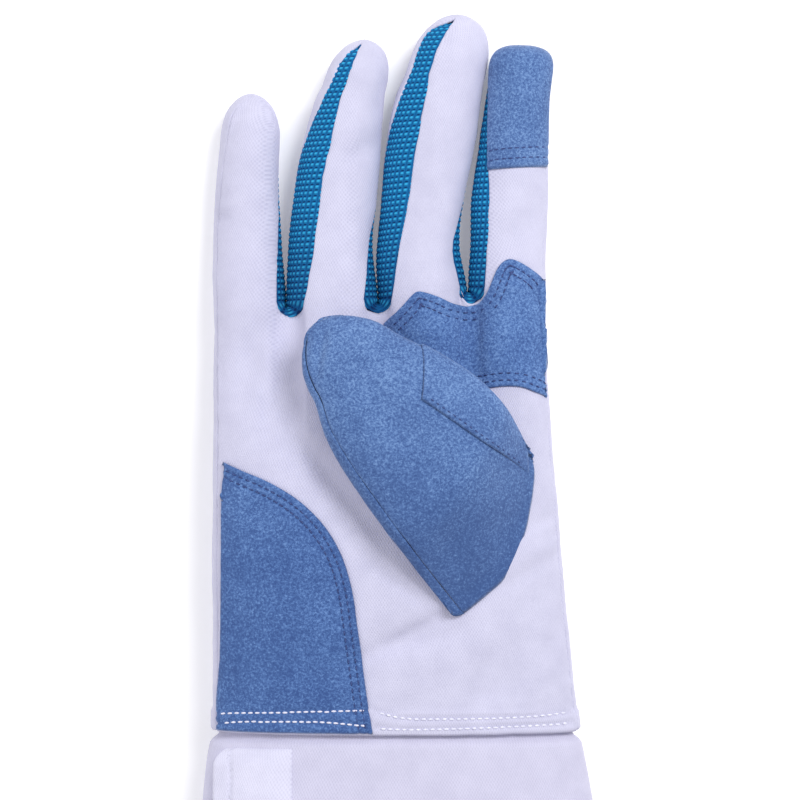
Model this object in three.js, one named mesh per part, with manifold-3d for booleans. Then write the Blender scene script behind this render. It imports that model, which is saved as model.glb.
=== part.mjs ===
// A right-hand fencing glove lying palm up: knit hand, air-mesh strips between the fingers,
// suede thumb and patches, and a flared cuff. Millimetres, +Y towards the fingertips, +Z up.

import * as THREE from 'three';
import Module from 'manifold-3d';

const wasm = await Module();
wasm.setup();

// Hand
const palm_length = 137;
const palm_height = 31;
const wrist_flare = 10.2;
const finger_height = 20.5;
const hem_width = 6.6;
const hem_puff = 0.7;

// Fingers, from the crotch to the tip
const little_length = 67;
const ring_length = 84;
const middle_length = 89.5;
const index_length = 76.5;
const little_breadth = 23;
const ring_breadth = 28.6;
const middle_breadth = 26.9;
const index_breadth = 24;

// Crotches between neighbouring fingers
const little_ring_gap = 0.8;
const ring_middle_gap = 0.8;
const middle_index_gap = 2.6;
const crotch_depth = 5;
const web_rise = 3.4;

// Walls and clearances
const knit_wall = 1.5;
const mesh_wall = 1.2;
const suede_wall = 1.4;
const patch_wall = 1;
const cuff_wall = 1.8;
const seam_gap = 0.3;
const strip_gap = 0.4;
const layer_gap = 0.3;
const tuck_gap = 0.8;

// Thumb
const thumb_length = 98.6;
const thumb_breadth = 55.7;
const thumb_height = 14.5;
const thumb_loop = 25;
const thumb_clearance = 1.7;
const rim_lift = 1;
const thumb_angle = 40;

// Cuff and its flap
const cuff_length = 135;
const cuff_tuck = 8;
const cuff_mouth = 154;
const cuff_mouth_height = 43;
const flap_breadth = 26;
const flap_length = 128;
const flap_drop = 4.6;
const slit_width = 1.6;

// Facets
const finger_columns = 6;
const crotch_columns = 3;
const strip_columns = 3;
const cuff_columns = 42;
const thumb_columns = 11;

const crown_share = 0.54;
const body_power = 2.5;
const degrees = Math.PI / 180;
const half_turn = Math.PI / degrees;
const full_turn = 2 * half_turn;

// Places of the hand's side seams, as shares of the half breadth
const side_seam = { left: 0.967, right: 0.982 };
// How fast the back's side columns turn under the hand, on its index and its little side
const side_wrap = { index: 1.5, little: 3 };
// How far a broader finger is also a higher one
const plumpness = 0.4;
// Radius that a seam's gap turns about, as a share of the finger's breadth, and its least share at the tip
const seam_radius = { share: 0.42, least: 0.15 };
// How much further the inner face of a crotch sits down, for each millimetre of wall
const crotch_sink = 0.3;

// Finger tables. at: share of the finger's length from crotch to tip. shift and half: centre line and
// half breadth as shares of the finger's breadth. The four seams are angles in degrees from the crown.
const little = {
  length: little_length,
  breadth: little_breadth,
  dome: 0.78,
  power: 2,
  pole: 0,
  rows: [
    { at: 0, shift: 0, half: 0.5, front_left: -60, back_left: -60, front_right: 52, back_right: 108 },
    { at: 0.25, shift: -0.02, half: 0.485, front_left: -60, back_left: -60, front_right: 64, back_right: 110 },
    { at: 0.47, shift: -0.028, half: 0.455, front_left: -57, back_left: -57, front_right: 80, back_right: 113 },
    { at: 0.68, shift: -0.014, half: 0.425, front_left: -50, back_left: -50, front_right: 97, back_right: 120 },
    { at: 0.78, shift: 0.007, half: 0.417, front_left: -47, back_left: -47, front_right: 106, back_right: 128 },
    { at: 0.93, shift: 0.015, half: 0.417, front_left: -38, back_left: -38, front_right: 136, back_right: 148 },
    { at: 1, shift: 0.02, half: 0.417, front_left: 0, back_left: 0, front_right: 180, back_right: 180 },
  ],
};
const ring = {
  length: ring_length,
  breadth: ring_breadth,
  dome: 0.826,
  power: 2,
  pole: 0,
  rows: [
    { at: 0, shift: 0, half: 0.5, front_left: -37, back_left: -108, front_right: 47, back_right: 110 },
    { at: 0.2, shift: -0.025, half: 0.475, front_left: -22, back_left: -100, front_right: 68, back_right: 115 },
    { at: 0.39, shift: 0.03, half: 0.474, front_left: -20, back_left: -94, front_right: 88, back_right: 117 },
    { at: 0.54, shift: 0.083, half: 0.458, front_left: -18, back_left: -82, front_right: 90, back_right: 119 },
    { at: 0.77, shift: 0.198, half: 0.386, front_left: -16, back_left: -50, front_right: 100, back_right: 124 },
    { at: 0.826, shift: 0.25, half: 0.363, front_left: -15, back_left: -46, front_right: 110, back_right: 130 },
    { at: 0.95, shift: 0.33, half: 0.363, front_left: -8, back_left: -32, front_right: 140, back_right: 155 },
    { at: 1, shift: 0.35, half: 0.363, front_left: 0, back_left: 0, front_right: 180, back_right: 180 },
  ],
};
const middle = {
  length: middle_length,
  breadth: middle_breadth,
  dome: 0.815,
  power: 2,
  pole: 0,
  rows: [
    { at: 0, shift: 0, half: 0.5, front_left: -44, back_left: -108, front_right: 68, back_right: 112 },
    { at: 0.15, shift: -0.046, half: 0.488, front_left: -29, back_left: -100, front_right: 62, back_right: 114 },
    { at: 0.33, shift: 0.018, half: 0.5, front_left: -21, back_left: -95, front_right: 84, back_right: 116 },
    { at: 0.51, shift: 0.101, half: 0.532, front_left: -20, back_left: -85, front_right: 90, back_right: 118 },
    { at: 0.69, shift: 0.202, half: 0.524, front_left: -18, back_left: -63, front_right: 96, back_right: 122 },
    { at: 0.815, shift: 0.315, half: 0.473, front_left: -24, back_left: -62, front_right: 108, back_right: 130 },
    { at: 0.95, shift: 0.41, half: 0.473, front_left: -14, back_left: -58, front_right: 140, back_right: 154 },
    { at: 1, shift: 0.425, half: 0.473, front_left: 0, back_left: 0, front_right: 180, back_right: 180 },
  ],
};
const index = {
  length: index_length,
  breadth: index_breadth,
  dome: 0.895,
  power: 3,
  pole: -50,
  rows: [
    { at: 0, shift: 0, half: 0.5, front_left: -42, back_left: -108, front_right: 65, back_right: 65 },
    { at: 0.15, shift: -0.004, half: 0.5, front_left: -37, back_left: -102, front_right: 67, back_right: 67 },
    { at: 0.36, shift: 0.008, half: 0.517, front_left: -35, back_left: -96, front_right: 70, back_right: 70 },
    { at: 0.57, shift: 0.055, half: 0.462, front_left: -44, back_left: -92, front_right: 71, back_right: 71 },
    { at: 0.78, shift: 0.104, half: 0.425, front_left: -52, back_left: -88, front_right: 72, back_right: 72 },
    { at: 0.895, shift: 0.15, half: 0.414, front_left: -52, back_left: -84, front_right: 75, back_right: 75 },
    { at: 0.98, shift: 0.15, half: 0.414, front_left: -52, back_left: -74, front_right: 98, back_right: 98 },
    { at: 1, shift: 0.14, half: 0.414, front_left: -50, back_left: -50, front_right: 130, back_right: 130 },
  ],
};

// Height of the hand along the palm, at: share from the wrist to the crotches.
const palm_rows = [
  { at: 0, height: 0.92 },
  { at: 0.25, height: 1 },
  { at: 0.5, height: 1.03 },
  { at: 0.75, height: 0.98 },
  { at: 1, height: 0.85 },
];

// Height of a finger along its length.
const finger_rows = [
  { at: 0, height: 1.16 },
  { at: 0.25, height: 1.02 },
  { at: 0.6, height: 0.98 },
  { at: 0.85, height: 0.9 },
  { at: 1, height: 0.82 },
];

// Thumb table. at: share of its length from the base seam. shift and half are shares of its breadth.
const thumb_rows = [
  { at: 0, shift: 0.04, half: 0.47, height: 0.75 },
  { at: 0.2, shift: 0.058, half: 0.475, height: 0.9 },
  { at: 0.4, shift: 0.096, half: 0.498, height: 1 },
  { at: 0.55, shift: 0.08, half: 0.46, height: 0.98 },
  { at: 0.7, shift: 0.055, half: 0.385, height: 0.92 },
  { at: 0.825, shift: 0.052, half: 0.298, height: 0.84 },
  { at: 1, shift: 0.035, half: 0.298, height: 0.75 },
];
const thumb_dome = 0.825;
const thumb_power = 1.6;
const thumb_pole = -60;
const thumb_seam_left = -61;
const thumb_seam_right = 100;

// Dents of the palm's front. x: share of the palm's breadth from its left side, y: share of its length
// from the wrist, along and across: shares of its breadth, turn: degrees, depth: share of its height.
const folds = [
  { x: 0.2, y: 0.86, along: 0.26, across: 0.07, turn: 80, depth: 0.09 },
  { x: 0.3, y: 0.62, along: 0.3, across: 0.08, turn: 125, depth: 0.1 },
  { x: 0.62, y: 0.22, along: 0.22, across: 0.06, turn: 20, depth: 0.07 },
  { x: 0.95, y: 0.5, along: 0.14, across: 0.05, turn: 15, depth: 0.06 },
  { x: 0.86, y: 0.12, along: 0.2, across: 0.06, turn: 60, depth: 0.05 },
];

const mix = (a, b, t) => a + (b - a) * t;
const ease = (t) => {
  const k = Math.min(1, Math.max(0, t));
  return k * k * (3 - 2 * k);
};

// Smooth reading of one column of a table.
function read(rows, at, column) {
  const last = rows.length - 1;
  let i = 0;
  while (i < last - 1 && at > rows[i + 1].at) i += 1;
  const slope = (k) => {
    const a = rows[Math.max(0, k - 1)];
    const b = rows[Math.min(last, k + 1)];
    return (b[column] - a[column]) / (b.at - a.at);
  };
  const span = rows[i + 1].at - rows[i].at;
  const t = Math.min(1, Math.max(0, (at - rows[i].at) / span));
  const rise = rows[i + 1][column] - rows[i][column];
  const bend = slope(i) * span * (t - 2 * t * t + t ** 3) + slope(i + 1) * span * (t ** 3 - t * t);
  return rows[i][column] + rise * (3 * t * t - 2 * t ** 3) + bend;
}

const signed = (value, power) => Math.sign(value) * Math.abs(value) ** power;

// Layout across the hand
const fingers = [little, ring, middle, index];
const gaps = [little_ring_gap, ring_middle_gap, middle_index_gap];
const palm_breadth = fingers.reduce((sum, f) => sum + f.breadth, 0) + gaps.reduce((sum, g) => sum + g, 0);
const palm_left = -0.561 * palm_breadth;
const crotch_shares = [0.995, 1.003, 1.03];

fingers.forEach((finger, i) => {
  const before = i === 0 ? palm_left : fingers[i - 1].x + fingers[i - 1].breadth / 2 + gaps[i - 1];
  finger.x = before + finger.breadth / 2;
  finger.left_y = palm_length * crotch_shares[Math.max(0, i - 1)];
  finger.right_y = palm_length * crotch_shares[Math.min(2, i)];
});

// A rounded section, flat where it rests. Angles run clockwise from the crown, seen towards +Y.
function section(shape, angle, inset) {
  const x = shape.x + (shape.half - inset) * signed(Math.sin(angle), 2 / shape.power);
  const z = shape.middle + (shape.rise - inset) * signed(Math.cos(angle), 2 / shape.power);
  return [x, Math.max(z, inset)];
}

// The hand below the fingers
function bodyShape(y) {
  const at = y / palm_length;
  const right = palm_left + palm_breadth + wrist_flare * Math.max(0, 1 - at) ** 1.5;
  const height = palm_height * read(palm_rows, at, 'height');
  return {
    x: (palm_left + right) / 2,
    half: (right - palm_left) / 2,
    middle: height * (1 - crown_share),
    rise: height * crown_share,
    power: body_power,
  };
}

function foldDepth(x, y) {
  let depth = 0;
  for (const fold of folds) {
    const dx = x - palm_left - fold.x * palm_breadth;
    const dy = y - fold.y * palm_length;
    const turn = fold.turn * degrees;
    const u = (dx * Math.cos(turn) + dy * Math.sin(turn)) / (fold.along * palm_breadth);
    const v = (dy * Math.cos(turn) - dx * Math.sin(turn)) / (fold.across * palm_breadth);
    depth += fold.depth * palm_height * Math.exp(-u * u - v * v);
  }
  return depth;
}

// One finger. along runs from 0 at the crotch to 1 where its tip begins to round, and to 2 at the pole.
function fingerSeam(finger, along, column) {
  const round = Math.sin(Math.max(0, along - 1) * Math.PI / 2) ** (2 / finger.power);
  const at = along <= 1 ? finger.dome * along : mix(finger.dome, 1, round);
  return read(finger.rows, at, column) * degrees;
}

function fingerPoint(finger, along, angle, inset) {
  const turn = Math.max(0, along - 1) * Math.PI / 2;
  const round = Math.sin(turn) ** (2 / finger.power);
  const narrow = Math.max(0, Math.cos(turn)) ** (2 / finger.power);
  const at = along <= 1 ? finger.dome * along : mix(finger.dome, 1, round);
  const plump = mix(1, finger.breadth / ring_breadth, plumpness);
  const height = finger_height * plump * read(finger_rows, at, 'height');
  const shape = {
    x: finger.x + finger.breadth * read(finger.rows, at, 'shift'),
    half: (finger.breadth * read(finger.rows, at, 'half') - inset) * narrow,
    middle: height * (1 - crown_share),
    rise: (height * crown_share - inset) * narrow,
    power: 2,
  };
  const [x, z] = section(shape, angle, 0);
  const low = mix(finger.left_y, finger.right_y, (1 + Math.sin(angle)) / 2);
  const tip = (finger.left_y + finger.right_y) / 2 + finger.length;
  const dome_y = tip - finger.length * (1 - finger.dome);
  const y = along <= 1 ? mix(low, dome_y, along) : dome_y + (tip - dome_y - inset) * round;
  return [x, y, Math.max(z, inset, 0)];
}

// The tip's pole, moved off the seam by half a gap towards the lobe that closes there.
function fingerPole(finger, lobe, inset) {
  const [x, y, z] = fingerPoint(finger, 2, 0, inset);
  const towards = (finger.pole + 90) * degrees;
  const move = lobe * seam_gap / 2;
  return [x + move * Math.sin(towards), y, z + move * Math.cos(towards)];
}

function edgeTurn(finger, along) {
  const turn = Math.max(0, along - 1) * Math.PI / 2;
  const radius = finger.breadth * seam_radius.share * Math.max(seam_radius.least, Math.cos(turn));
  return seam_gap / 2 / radius;
}

// Crotch curves between two fingers, from the left finger at 0 to the right finger at 1
const crotches = gaps.map((_, i) => ({ left: fingers[i], right: fingers[i + 1] }));
const levels = {
  front: { column: 'front', height: 0.8, lift: -1 },
  back: { column: 'back', height: 0.14, lift: 1 },
};

function crotchPoint(crotch, share, level, inset, margin) {
  const form = levels[level];
  const turn = margin * edgeTurn(crotch.left, 0) * form.lift;
  const left_angle = fingerSeam(crotch.left, 0, `${form.column}_right`) + turn;
  const right_angle = fingerSeam(crotch.right, 0, `${form.column}_left`) - turn;
  const left = fingerPoint(crotch.left, 0, left_angle, inset);
  const right = fingerPoint(crotch.right, 0, right_angle, inset);
  const w = (1 - Math.cos(Math.PI * share)) / 2;
  const deep = Math.sin(Math.PI * share);
  const sunk = crotch_depth + crotch_sink * inset + margin * seam_gap / 2;
  const y = mix(left[1], right[1], w) - sunk * deep;
  const z = mix(mix(left[2], right[2], w), finger_height * form.height + form.lift * inset, deep);
  return [mix(left[0], right[0], w), y, Math.max(z, inset, 0)];
}

function crotchMiddle(crotch, share, inset) {
  const centre = (finger, side) => {
    return (fingerSeam(finger, 0, `front_${side}`) + fingerSeam(finger, 0, `back_${side}`)) / 2;
  };
  const left = fingerPoint(crotch.left, 0, centre(crotch.left, 'right'), inset);
  const right = fingerPoint(crotch.right, 0, centre(crotch.right, 'left'), inset);
  const w = (1 - Math.cos(Math.PI * share)) / 2;
  const deep = Math.sin(Math.PI * share);
  const y = mix(left[1], right[1], w) - (crotch_depth - web_rise + inset) * deep;
  return [mix(left[0], right[0], w), y, mix(left[2], right[2], w)];
}

// Columns of the front and the back along the line of crotches. Each gives its top point and the
// angle that it starts from on the body.
function bodyAngle(point, lower) {
  const shape = bodyShape(point[1]);
  const share = Math.min(side_seam.right, Math.max(-side_seam.left, (point[0] - shape.x) / shape.half));
  const angle = Math.asin(signed(share, body_power / 2));
  return lower ? Math.PI - angle : angle;
}

const body_seam_left = -Math.asin(side_seam.left ** (body_power / 2));
const body_seam_right = Math.asin(side_seam.right ** (body_power / 2));

function frontColumns() {
  const columns = [];
  fingers.forEach((finger, i) => {
    for (let c = 0; c <= finger_columns; c += 1) {
      const top = (inset) => frontPoint(finger, 0, c / finger_columns, inset);
      columns.push({ top, angle: bodyAngle(top(0), false) });
    }
    for (let c = 1; i < crotches.length && c < crotch_columns; c += 1) {
      const top = (inset) => crotchPoint(crotches[i], c / crotch_columns, 'front', inset, 1);
      columns.push({ top, angle: bodyAngle(top(0), false) });
    }
  });
  columns[0].angle = body_seam_left + seam_gap / 2 / (palm_height / 2);
  columns[columns.length - 1].angle = body_seam_right - seam_gap / 2 / (palm_height / 2);
  return columns;
}

function backColumns() {
  const columns = [];
  for (let i = fingers.length - 1; i >= 0; i -= 1) {
    for (let c = 0; c <= finger_columns; c += 1) {
      const top = (inset) => backPoint(fingers[i], 0, c / finger_columns, inset);
      columns.push({ top, angle: outerAngle(i, c / finger_columns, top(0)) });
    }
    for (let c = crotch_columns - 1; i > 0 && c > 0; c -= 1) {
      const top = (inset) => crotchPoint(crotches[i - 1], c / crotch_columns, 'back', inset, 1);
      columns.push({ top, angle: bodyAngle(top(0), true) });
    }
  }
  return columns;
}

// On the outer sides of the hand the back wraps up to the side seams.
function outerAngle(i, share, point) {
  const [from, to] = backSpan(fingers[i], 0);
  const angle = mix(from, to, share);
  const margin = seam_gap / 2 / (palm_height / 2);
  const below = bodyAngle(point, true);
  if (i === fingers.length - 1) {
    const side = Math.PI / 2;
    if (angle < side) return mix(body_seam_right + margin, side, (angle - from) / (side - from));
    return mix(side, below, ease((angle - side) / side * side_wrap.index));
  }
  if (i === 0) {
    const side = 1.5 * Math.PI;
    const end = 2 * Math.PI + body_seam_left - margin;
    if (angle > side) return mix(side, end, (angle - side) / (to - side));
    return mix(side, below, ease((side - angle) / Math.PI * side_wrap.little));
  }
  return below;
}

// Front and back of one finger, column share from 0 to 1 in the direction of growing angle
function frontPoint(finger, along, share, inset) {
  if (along >= 2) return fingerPole(finger, 1, inset);
  const margin = edgeTurn(finger, along);
  const from = fingerSeam(finger, along, 'front_left') + margin;
  const to = fingerSeam(finger, along, 'front_right') - margin;
  return fingerPoint(finger, along, mix(from, to, share), inset);
}

function backSpan(finger, along) {
  const margin = edgeTurn(finger, along);
  const from = fingerSeam(finger, along, 'back_right') + margin;
  const to = 2 * Math.PI + fingerSeam(finger, along, 'back_left') - margin;
  return [from, to];
}

function backPoint(finger, along, share, inset) {
  if (along >= 2) return fingerPole(finger, -1, inset);
  const [from, to] = backSpan(finger, along);
  return fingerPoint(finger, along, mix(from, to, share), inset);
}

// Rows along the palm and along a finger
const palm_steps = [0.12, 0.25, 0.38, 0.5, 0.62, 0.73, 0.82, 0.91, 1];
const hem_steps = [0, 0.2, 0.6, 1];
const finger_steps = [0, 0.2, 0.4, 0.6, 0.8, 1, 1.3, 1.6, 1.84];
const strip_end = 1.7;
const blend_start = 0.6;

function palmPoint(column, row, inset, front) {
  const top = column.top(inset);
  const puff = row.hem * hem_puff;
  const y = mix(row.start, top[1], row.at);
  const [x, z] = section(bodyShape(y), column.angle, inset <= 0 ? inset - puff : inset);
  const blend = ease((row.at - blend_start) / (1 - blend_start));
  const edge = Math.cos(column.angle) ** 2 * (1 - blend) * ease(y / hem_width - 1);
  const dent = front ? foldDepth(x, y) * edge : 0;
  return [mix(x, top[0], blend), y, Math.max(mix(z - dent, top[2], blend), inset, 0)];
}

const hem_rows = hem_steps.map((share) => ({
  start: hem_width * share,
  at: 0,
  hem: Math.sin(Math.PI * Math.min(1, share)) ** 0.5,
}));
const body_rows = palm_steps.map((at) => ({ start: hem_width, at, hem: 0 }));
const rows_of_palm = [...hem_rows, ...body_rows];

// A wall is made of grids of points. Each grid row is a list of functions of the inset.
function wallMesh(grids, near, far) {
  const keys = new Map();
  const outer = [];
  const inner = [];
  const faces = [];
  const place = (point) => {
    const at = point(near);
    const key = at.map((v) => Math.round(v * 500)).join();
    if (!keys.has(key)) {
      keys.set(key, outer.length);
      outer.push(at);
      inner.push(point(far));
    }
    return keys.get(key);
  };
  const addFace = (a, b, c) => {
    if (a !== b && b !== c && c !== a) faces.push([a, b, c]);
  };
  for (const grid of grids) {
    for (let r = 0; r + 1 < grid.length; r += 1) {
      for (let c = 0; c + 1 < grid[r].length; c += 1) {
        const a = place(grid[r][c]);
        const b = place(grid[r][c + 1]);
        const d = place(grid[r + 1][c]);
        const e = place(grid[r + 1][c + 1]);
        addFace(a, b, e);
        addFace(a, e, d);
      }
    }
  }
  const count = outer.length;
  const edges = new Set(faces.flatMap(([a, b, c]) => [`${a},${b}`, `${b},${c}`, `${c},${a}`]));
  const triangles = [];
  for (const [a, b, c] of faces) {
    triangles.push(a, b, c, c + count, b + count, a + count);
    for (const [from, to] of [[a, b], [b, c], [c, a]]) {
      if (!edges.has(`${to},${from}`)) {
        triangles.push(to, from, from + count, to, from + count, to + count);
      }
    }
  }
  return toGeometry([...outer, ...inner].flat(), triangles);
}

function toGeometry(positions, triangles) {
  const geometry = new THREE.BufferGeometry();
  geometry.setAttribute('position', new THREE.BufferAttribute(new Float32Array(positions), 3));
  geometry.setIndex(triangles);
  geometry.computeVertexNormals();
  return geometry;
}

// Solids for cutting
function toSolid(geometry) {
  const vertProperties = new Float32Array(geometry.getAttribute('position').array);
  const triVerts = new Uint32Array(geometry.getIndex().array);
  return new wasm.Manifold(new wasm.Mesh({ numProp: 3, vertProperties, triVerts }));
}

function fromSolid(solid) {
  const mesh = solid.getMesh();
  return toGeometry(Array.from(mesh.vertProperties), Array.from(mesh.triVerts));
}

// An upright prism over an outline given counter-clockwise
function prism(outline, low, high) {
  const area = THREE.ShapeUtils.area(outline);
  const points = area < 0 ? [...outline].reverse() : outline;
  const count = points.length;
  const positions = [low, high].flatMap((z) => points.flatMap((p) => [p.x, p.y, z]));
  const triangles = [];
  for (const [a, b, c] of THREE.ShapeUtils.triangulateShape(points, [])) {
    triangles.push(a + count, b + count, c + count, c, b, a);
  }
  for (let i = 0; i < count; i += 1) {
    const next = (i + 1) % count;
    triangles.push(i, next, next + count, i, next + count, i + count);
  }
  return toSolid(toGeometry(positions, triangles));
}

// Grids of the hand's two halves
const front_columns = frontColumns();
const back_columns = backColumns();

function palmGrid(columns, front) {
  return rows_of_palm.map((row) => columns.map((column) => (inset) => palmPoint(column, row, inset, front)));
}

function fingerGrid(finger, point, steps) {
  const shares = Array.from({ length: finger_columns + 1 }, (_, c) => c / finger_columns);
  return [...steps, 2].map((along) => shares.map((share) => (inset) => point(finger, along, share, inset)));
}

const front_grids = [
  palmGrid(front_columns, true),
  ...fingers.map((finger) => fingerGrid(finger, frontPoint, finger_steps)),
];
const back_grids = [
  palmGrid(back_columns, false),
  ...fingers.map((finger) => fingerGrid(finger, backPoint, finger_steps)),
];

// Mesh strip between two fingers: down the right finger's left side, round the crotch, up the other
function stripPoint(front, centre, back, share) {
  return (inset) => {
    const f = front(inset);
    const m = centre(inset);
    const b = back(inset);
    const start = Math.hypot(...f.map((v, i) => 4 * (m[i] - v) - (b[i] - v)));
    const end = Math.hypot(...b.map((v, i) => 4 * (m[i] - v) - (f[i] - v)));
    const v = mix(strip_gap / start, 1 - strip_gap / end, share);
    const point = f.map((value, i) => {
      return value * (1 - v) * (1 - 2 * v) + m[i] * 4 * v * (1 - v) + b[i] * v * (2 * v - 1);
    });
    point[2] = Math.max(point[2], inset, 0);
    return point;
  };
}

function fingerStrip(finger, side, along) {
  const f = fingerSeam(finger, along, `front_${side}`);
  const b = fingerSeam(finger, along, `back_${side}`);
  const at = (angle) => (inset) => fingerPoint(finger, along, angle, inset);
  return [at(f), at((f + b) / 2), at(b)];
}

function crotchStrip(crotch, share) {
  return [
    (inset) => crotchPoint(crotch, share, 'front', inset, 0),
    (inset) => crotchMiddle(crotch, share, inset),
    (inset) => crotchPoint(crotch, share, 'back', inset, 0),
  ];
}

function fourchette(crotch) {
  const steps = finger_steps.filter((along) => along > 0 && along < strip_end);
  const stations = [
    ...[...steps].reverse().map((along) => fingerStrip(crotch.right, 'left', along)),
    ...Array.from({ length: crotch_columns + 1 }, (_, c) => crotchStrip(crotch, 1 - c / crotch_columns)),
    ...steps.map((along) => fingerStrip(crotch.left, 'right', along)),
  ];
  const shares = Array.from({ length: strip_columns + 1 }, (_, c) => c / strip_columns);
  const grid = stations.map((station) => shares.map((share) => stripPoint(...station, share)));
  return wallMesh([grid], 0, mesh_wall);
}

// Height of the hand's crown, for what lies on it
function restHeight(x, y) {
  const shape = bodyShape(y);
  const share = Math.min(side_seam.right, Math.max(-side_seam.left, (x - shape.x) / shape.half));
  const angle = Math.asin(signed(share, body_power / 2));
  const dent = foldDepth(x, y) * Math.cos(angle) ** 2 * ease(y / hem_width - 1);
  return section(shape, angle, 0)[1] - dent;
}

// Thumb: a flat tube from its loop on the palm to its tip. Its axis leans left of +Y. Its base lies at
// shares of the palm's breadth and length.
const thumb_place = { across: 0.877, along: 0.392 };
const thumb_base = {
  x: palm_left + thumb_place.across * palm_breadth,
  y: thumb_place.along * palm_length,
};
const thumb_axis = [-Math.sin(thumb_angle * degrees), Math.cos(thumb_angle * degrees)];
const thumb_side = [Math.cos(thumb_angle * degrees), Math.sin(thumb_angle * degrees)];

function thumbPlan(forward, sideways) {
  return [
    thumb_base.x + forward * thumb_axis[0] + sideways * thumb_side[0],
    thumb_base.y + forward * thumb_axis[1] + sideways * thumb_side[1],
  ];
}

// The sewn base line, as a distance along the axis for each place across it. from and span are shares
// of the thumb's breadth, start and rise are shares of its length.
const base_line = { from: -0.115, span: 0.604, start: -0.04, rise: 0.22, power: 1.6 };

function baseLine(sideways) {
  const share = Math.max(0, (sideways / thumb_breadth - base_line.from) / base_line.span);
  return thumb_length * (base_line.start + base_line.rise * share ** base_line.power);
}

// The hole that the thumb is sewn round is square at its base line and round at its far end.
const loop_power = 3;

// Where along the thumb it has its full height, its clearance over the palm and its pole's seam turn
const thumb_ends = { height: 0.4, clearance: 0.15, pole: 0.85 };

function thumbPoint(along, angle, inset) {
  const start = read(thumb_rows, 0, 'half') * thumb_breadth;
  const lifted = ease(along / thumb_ends.height);
  const across = start * Math.sin(angle) + read(thumb_rows, 0, 'shift') * thumb_breadth;
  const plan_inset = inset * (1 - lifted);
  const loop = plan_inset + (thumb_loop - 2 * plan_inset) * ((1 - Math.cos(angle)) / 2) ** loop_power;
  const first = baseLine(across) + loop;
  const turn = Math.max(0, along - 1) * Math.PI / 2;
  const round = Math.sin(turn) ** (2 / thumb_power);
  const narrow = Math.max(0, Math.cos(turn)) ** (2 / thumb_power);
  const dome_at = thumb_length * thumb_dome;
  const on_dome = dome_at + (thumb_length - dome_at - inset) * round;
  const forward = along <= 1 ? mix(first, dome_at, along) : on_dome;
  const at = Math.max(0, forward / thumb_length);
  const half = (read(thumb_rows, at, 'half') * thumb_breadth - inset) * narrow;
  const sideways = read(thumb_rows, at, 'shift') * thumb_breadth + half * Math.sin(angle);
  const thick = thumb_height * read(thumb_rows, at, 'height') / 2;
  const [x, y] = thumbPlan(forward, sideways);
  const [rest_x, rest_y] = thumbPlan(forward, sideways + inset * narrow * lifted * Math.sin(angle));
  const rim = layer_gap + rim_lift * Math.sin(angle) ** 2;
  const clear = mix(rim, thumb_clearance, ease(along / thumb_ends.clearance));
  const rise = lifted * (thick + (thick - inset) * narrow * Math.cos(angle));
  return [x, y, restHeight(rest_x, rest_y) + clear + rise];
}

const thumb_tip_least = 0.2;
const thumb_steps = [0, 0.06, 0.15, 0.27, 0.42, 0.6, 0.8, 1, 1.3, 1.6, 1.85];

function thumbAngle(along, from, to, share) {
  const near_tip = ease((along - 1) / thumb_ends.pole);
  const first_pole = from > 0 ? thumb_pole + half_turn : thumb_pole;
  const start = mix(from, first_pole, near_tip) * degrees;
  const end = mix(to, first_pole + half_turn, near_tip) * degrees;
  const turn = Math.max(0, along - 1) * Math.PI / 2;
  const radius = thumb_height / 2 * Math.max(thumb_tip_least, Math.cos(turn));
  const margin = seam_gap / 2 / radius;
  return mix(start + margin, end - margin, share);
}

function thumbPole(lobe) {
  return (inset) => {
    const [x, y, z] = thumbPoint(2, 0, inset);
    const towards = (thumb_pole + 90) * degrees;
    const move = lobe * seam_gap / 2;
    const across = move * Math.sin(towards);
    return [x + across * thumb_side[0], y + across * thumb_side[1], z + move * Math.cos(towards)];
  };
}

function thumbGrid(from, to, columns, lobe) {
  const shares = Array.from({ length: columns + 1 }, (_, c) => c / columns);
  const grid = thumb_steps.map((along) => {
    return shares.map((share) => (inset) => thumbPoint(along, thumbAngle(along, from, to, share), inset));
  });
  grid.push(shares.map(() => thumbPole(lobe)));
  return grid;
}

const thumb_front_grid = thumbGrid(thumb_seam_left, thumb_seam_right, thumb_columns, 1);
const thumb_back_grid = thumbGrid(thumb_seam_right, thumb_seam_left + full_turn, thumb_columns, -1);

// Upright cuts through the palm's front start under it and end over everything.
const cut_low = 0.3 * palm_height;
const cut_high = 3 * palm_height;
const hole_sides = 24;

function thumbHole() {
  const outline = Array.from({ length: hole_sides }, (_, i) => {
    const [x, y] = thumbPoint(0, full_turn * degrees * i / hole_sides, suede_wall + layer_gap);
    return new THREE.Vector2(x, y);
  });
  return prism(outline, cut_low, cut_high);
}

// Patch outlines, in shares of the palm's breadth from its left side and of its length from the wrist
function outline(points) {
  return points.map(([x, y]) => new THREE.Vector2(palm_left + x * palm_breadth, y * palm_length));
}

const heel_outline = [
  [0.022, -0.02], [0.48, -0.02], [0.475, 0.06], [0.458, 0.146], [0.44, 0.235], [0.423, 0.32],
  [0.386, 0.412], [0.327, 0.495], [0.267, 0.537], [0.198, 0.571], [0.132, 0.601], [0.03, 0.627],
  [0.018, 0.635], [0.018, 0.2],
];
const web_outline = [
  [0.52, 0.962], [0.555, 0.985], [0.615, 1.032], [0.66, 1.025], [0.702, 1.003], [0.765, 0.995],
  [0.81, 1.01], [0.835, 1.06], [0.868, 1.103], [0.89, 1.105], [0.93, 1.087], [0.97, 1.068],
  [1.02, 1.05], [1.02, 0.762], [0.975, 0.772], [0.92, 0.782], [0.842, 0.796], [0.77, 0.8],
  [0.7, 0.82], [0.63, 0.86], [0.56, 0.91],
];

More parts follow.
